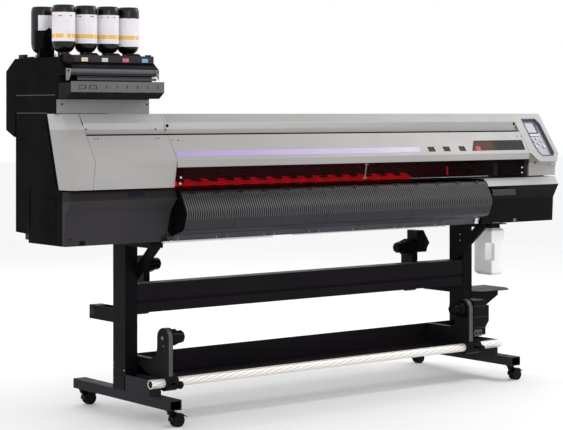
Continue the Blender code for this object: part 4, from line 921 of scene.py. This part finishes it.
catches += [block((-0.8935, -0.235, 1.384), (-0.874, -0.215, 1.3985), 0.0015, 0.002),
            block((-1.266, 0.04, 1.384), (-1.248, 0.086, 1.4), 0.0015, 0.003),
            block((-1.266, -0.025, 1.384), (-1.256, 0.02, 1.3905), 0.001, 0.002)]
piece("deck_catches", moulded("catch_brown_black", 0x2a2423, 0.4), catches)
knob = [(-0.264, 0.013), (-0.261, 0.0165), (-0.252, 0.0195), (-0.24, 0.021), (-0.228, 0.021),
        (-0.225, 0.018)]
piece("deck_knob", moulded("knob_brown_black", 0x241f1f, 0.3),
      [lathe("Y", (-1.244, 1.376), knob, 32),
       block((-1.248, -0.266, 1.364), (-1.24, -0.263, 1.388), 0.001, 0.002)])
piece("deck_pins", bolt_steel, [lathe("Z", (x, y),
                                      [(1.384, 0.0045), (1.39, 0.0045), (1.3905, 0.0025), (1.3965, 0.0022),
                                       (1.397, PINPRICK)], 16)
                                for x, y in ((-1.262, -0.185), (-1.262, -0.04), (-1.252, -0.205),
                                             (-1.165, -0.195), (-1.065, -0.195), (-0.966, -0.195))])

# ---- Ink bottles -------------------------------------------------------------------------------
# One-litre bottles blown in glossy black plastic, standing on their necks, each with a plain paper
# label and a tinted band round it. The rear one stands in a black half sleeve.

place = place_on("bottle_black")
swirl = place.noise(14.0, 3)
bottle_black = closed_off(place, Base_Color=swirl.between(0x070607, 0x0d0c0c),
                          Roughness=swirl.between(0.22, 0.32), Specular_IOR_Level=0.35,
                          Normal=place.noise(70.0, 2).bump(0.15, 0.0008))
outer = rounded([(1.362, PINPRICK), (1.362, 0.0168), (1.3835, 0.0168), (1.384, 0.0222), (1.4035, 0.0225),
                 (1.405, 0.0215), (1.408, 0.03), (1.42, 0.0392), (1.438, 0.0428), (1.564, 0.0428),
                 (1.5785, 0.0385), (1.5785, 0.03), (1.576, 0.026), (1.576, PINPRICK)], 0.008, 5,
                closed=False)
place = place_on("bottle_label")
height = (place.axis("Z") - 1.44) / 0.107
band = (height > 0.15) * (height < 0.29)
gap = place.stretched(1, 1, 0.01).noise(95.0, 1) > 0.6
amber = gap.mixed(colour(0xe8b45e), colour(0xf1d9ae))
specks = place.stretched(1, 1, 2.4).noise(330.0, 2)
rows = ((height * 17).math("FRACT") < 0.42) * (specks > 0.62) * (height > 0.36) * (height < 0.9)
top_bar = (height > 0.885) * (height < 0.925) * (place.stretched(1, 1, 0.01).noise(60.0, 1) > 0.58)
paper = place.noise(25.0, 3).between(0xdedbe1, 0xe8e6eb)
printed = (rows * 0.45).mixed(top_bar.mixed(band.mixed(paper, amber), colour(0xc95760)), colour(0x8d8a94))
label_paper = closed_off(place, Base_Color=printed, Roughness=place.noise(60.0, 3).between(0.35, 0.5))
for node, turns, top in (("ink_bottle_1", (-204, 6), 1.5505), ("ink_bottle_2", (-186, 24), 1.5445),
                         ("ink_bottle_3", (-198, 12), 1.5455), ("ink_bottle_4", (-186, 24), 1.5365),
                         ("ink_bottle_5", (-142, 68), 1.5455)):
    low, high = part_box(node)
    centre = ((low[0] + high[0]) / 2, (low[1] + high[1]) / 2 - DATUM)
    body = body_of[node]
    piece(node + "_shell", bottle_black, [lathe("Z", centre, outer, 56)], body, [node],
          sharp=50)
    turn = np.radians(np.linspace(*turns, 61))[:, None]
    wall = np.array(rect(0.04292, top - 0.107, 0.0432, top))
    piece(node + "_label", label_paper,
          [skinned(spread("Z", wall[None, :, 1], centre[0] + wall[None, :, 0] * np.cos(turn),
                          centre[1] + wall[None, :, 0] * np.sin(turn)))], body)
turn = np.radians(np.linspace(-158, -42, 31))
rim = 1.488 + 0.01 * np.exp(-((turn + math.radians(85)) / 0.25) ** 2)
low_rim = 1.412 + 0 * turn
sleeve = [skinned(np.stack([spread("Z", z, -1.215 + r * np.cos(turn), -0.009 + r * np.sin(turn))
                            for r, z in ((0.0436, low_rim), (0.0454, low_rim), (0.0454, rim),
                                         (0.0436, rim))], 1)),
          block((-1.256, -0.058, 1.385), (-1.19, -0.05, 1.418), 0.001, 0.002),
          block((-1.244, -0.06, 1.418), (-1.202, -0.055, 1.47), 0.001, 0.002)]
piece("bottle_sleeve", moulded("sleeve_black", 0x0d0c0d, 0.35), sleeve)

# ---- Roll holders ------------------------------------------------------------------------------
# Moulded arms clamped on the rails. Each carries a stepped, finned core holder on a spindle; the
# take-up arm by the panel is driven by the motor in the box behind it, the feed arm has a brake.

place = place_on("lattice_plastic")
# The crossing ribs of the lattice are painted lighter than the arm: painted highlight along them.
lattice = [((place.axis("Y") * a + place.axis("Z") * b) / 0.011).math("FRACT") - 0.5
           for a, b in ((1, 1), (1, -1))]
rib = (lattice[0].math("ABSOLUTE") > 0.4).math("MAXIMUM", lattice[1].math("ABSOLUTE") > 0.4)
cloud = place.noise(9.0, 3)
lattice_black = closed_off(place,
                           Base_Color=rib.mixed(cloud.ramp((0.35, colour(0x0b0a0b)),
        (0.68, colour(0x121112))), colour(0x242225)), Roughness=cloud.between(0.34, 0.5),
                           Normal=rib.bump(0.5, 0.0006), Specular_IOR_Level=0.05)
holder_black = moulded("holder_black", 0x0d0c0e, 0.36)
for node, finish in (("takeup_idle_arm", lattice_black), ("takeup_drive_arm", lattice_black),
                     ("feed_left_arm", holder_black), ("feed_right_arm", holder_black)):
    softened(node, finish, 0.0022, 3)
softened("takeup_motor_box", holder_black, 0.003, 3)
core_black = moulded("core_black", 0x0a090b, 0.28)
TAKEUP_SPINDLE, FEED_SPINDLE = (-0.2195, 0.322), (0.19, 0.564)
for node, spindle, start, way, shaft in (("takeup_idle_core", TAKEUP_SPINDLE, -0.7915, 1, 0.023),
                                         ("takeup_drive_core", TAKEUP_SPINDLE, 0.772, -1, 0.026),
                                         ("feed_left_core", FEED_SPINDLE, -0.625, 1, 0.031),
                                         ("feed_right_core", FEED_SPINDLE, 0.814, -1, 0.0325)):
    line = rounded([(-shaft, PINPRICK), (-shaft, 0.008), (0.0008, 0.008), (0.0008, 0.0375),
                    (0.0085, 0.0385), (0.0095, 0.03), (0.036, 0.0295), (0.038, 0.0235), (0.064, 0.0225),
                    (0.069, 0.018), (0.069, 0.0095), (0.064, 0.0085), (0.064, PINPRICK)], 0.0012, 3,
                   closed=False)
    shells = [lathe("X", spindle, np.column_stack([start + way * line[:, 0], line[:, 1]]), 48)]
    for angle in np.radians(np.arange(0, 360, 45)):
        across, along = np.array([-np.sin(angle), np.cos(angle)]), np.array([np.cos(angle), np.sin(angle)])
        for r0, r1, x0, x1 in ((0.028, 0.0328, 0.0092, 0.0372), (0.021, 0.0253, 0.0375, 0.065)):
            fin = [np.array(spindle) + along * r + across * w
                   for r, w in ((r0, -0.0018), (r1, -0.0012), (r1, 0.0012), (r0, 0.0018))]
            shells.append(bar("X", fin, *sorted((start + way * x0, start + way * x1)), 0.0008))
    piece(node + "_turned", core_black, shells, body=body_of[node], replaced=[node], sharp=38)
# A grey rim along the top front edge of each take-up arm: painted highlight where that edge catches the
# light.
around = np.radians(np.arange(75, 181, 7))
rim = [np.column_stack([r * np.cos(around), r * np.sin(around)]) + TAKEUP_SPINDLE for r in (0.0394, 0.0378)]
rim = np.vstack([rim[0], [(-0.2589, 0.18), (-0.2573, 0.18)], rim[1][::-1]])
edge_painted_highlight = moulded("edge_painted_highlight", 0x4c4c50, 0.35, gloss=0.3)
for name, body, low, high in (("idle_arm_rim", "takeup_idle_arm", -0.8115, -0.7935),
                              ("drive_arm_rim", "root", 0.7745, 0.7965)):
    piece(name, edge_painted_highlight, [bar("X", rim, low, high, 0.0003)], body=body)
beige = powder_coat("beige_screws", 0x8a7d6c, grain=0.1, rough=0.35, metallic=0.4)
piece("idle_arm_screws", beige, studs([(-0.8137, *TAKEUP_SPINDLE)], LEFT, 0.0075)
      + studs([(-0.8137, -0.226, 0.292), (-0.8137, -0.01, 0.2)], LEFT, 0.0034),
      "takeup_idle_arm")
for name, body, x, way, y, z in (("idle_clamp_knob", "takeup_idle_arm", -0.786, -1, -0.288, 0.151),
                                 ("drive_clamp_knob", "root", 0.815, -1, -0.288, 0.151),
                                 ("feed_left_knob", "feed_left_arm", -0.64, 1, 0.255, 0.393),
                                 ("feed_right_knob", "feed_right_arm", 0.83, 1, 0.255, 0.393)):
    inner = y + (0.036 if way < 0 else -0.036)
    stalk = [(inner, 0.006), (y, 0.006), (y, 0.013), (y + 0.003 * way, 0.015), (y + 0.012 * way, 0.015),
             (y + 0.015 * way, 0.012)]
    piece(name, holder_black, [lathe("Y", (x, z), stalk, 24)], body=body)
piece("motor_sockets", powder_coat("socket_grey", 0x4f4f53, rough=0.4),
      [block((0.7995, -0.2638, 0.2), (0.848, -0.2622, 0.229), 0.0005, 0.002)]
      + [lathe("Y", (x, 0.214), [(-0.2642, 0.0062), (-0.2634, 0.008), (-0.263, PINPRICK)], 24)
         for x in (0.812, 0.835)])
piece("motor_plugs", holder_black,
      [lathe("Y", (x, 0.214), [(-0.266, 0.005), (-0.2636, 0.0058)], 24) for x in (0.812, 0.835)])
# Grey lines on the motor box's seams and slots: painted highlight where their edges catch the light.
lines = [bar("Y", rect(0.7995, z, 0.8915, z + 0.0012), -0.263, -0.2615, 0.0003)
         for z in (0.236, 0.2835, 0.331)]
lines += [bar("X", rect(-0.24, z, -0.19, z + 0.002), 0.8935, 0.8946, 0.0003)
          for z in np.arange(0.275, 0.322, 0.006)]
piece("motor_seams", powder_coat("seam_painted_highlight", 0x5a595d, rough=0.4), lines)

# ---- Waste tank --------------------------------------------------------------------------------
# A blown tank in milky polyethylene with a grip in its front edge. Its flanged neck sits in the
# hanger's slot, and a moulding seam runs round its middle.

place = place_on("milky_plastic")
# The tank is painted lighter towards the top and given a faint glow of its own: painted light.
rise = (place.axis("Z") - 0.44) / 0.22
cloud = place.noise(9.0, 4)
milky = (rise * 0.5 + cloud * 0.5).ramp((0.2, colour(0xe6e6e8)), (0.5, colour(0xf4f4f5)),
                                        (0.8, colour(0xfcfcfc)))
seam = (place.axis("X") - 1.121).math("ABSOLUTE") < 0.0006
tank_finish = closed_off(place, Base_Color=milky, Roughness=cloud.between(0.3, 0.42),
                         Subsurface_Weight=0.35, Subsurface_Scale=0.02, Emission_Color=milky,
                         Emission_Strength=0.1, Normal=(seam * 0.6 + place.noise(120.0, 2) * 0.2).bump(0.5,
        0.0006))
softened("waste_tank", tank_finish, 0.006, 4)
cap = [(0.6801, 0.0205), (0.6812, 0.0212), (0.6905, 0.0212), (0.692, 0.02)]
piece("tank_cap", moulded("cap_white", 0xdedee0, 0.4), [lathe("Z", (1.121, -0.03), cap, 36)],
      "waste_tank")
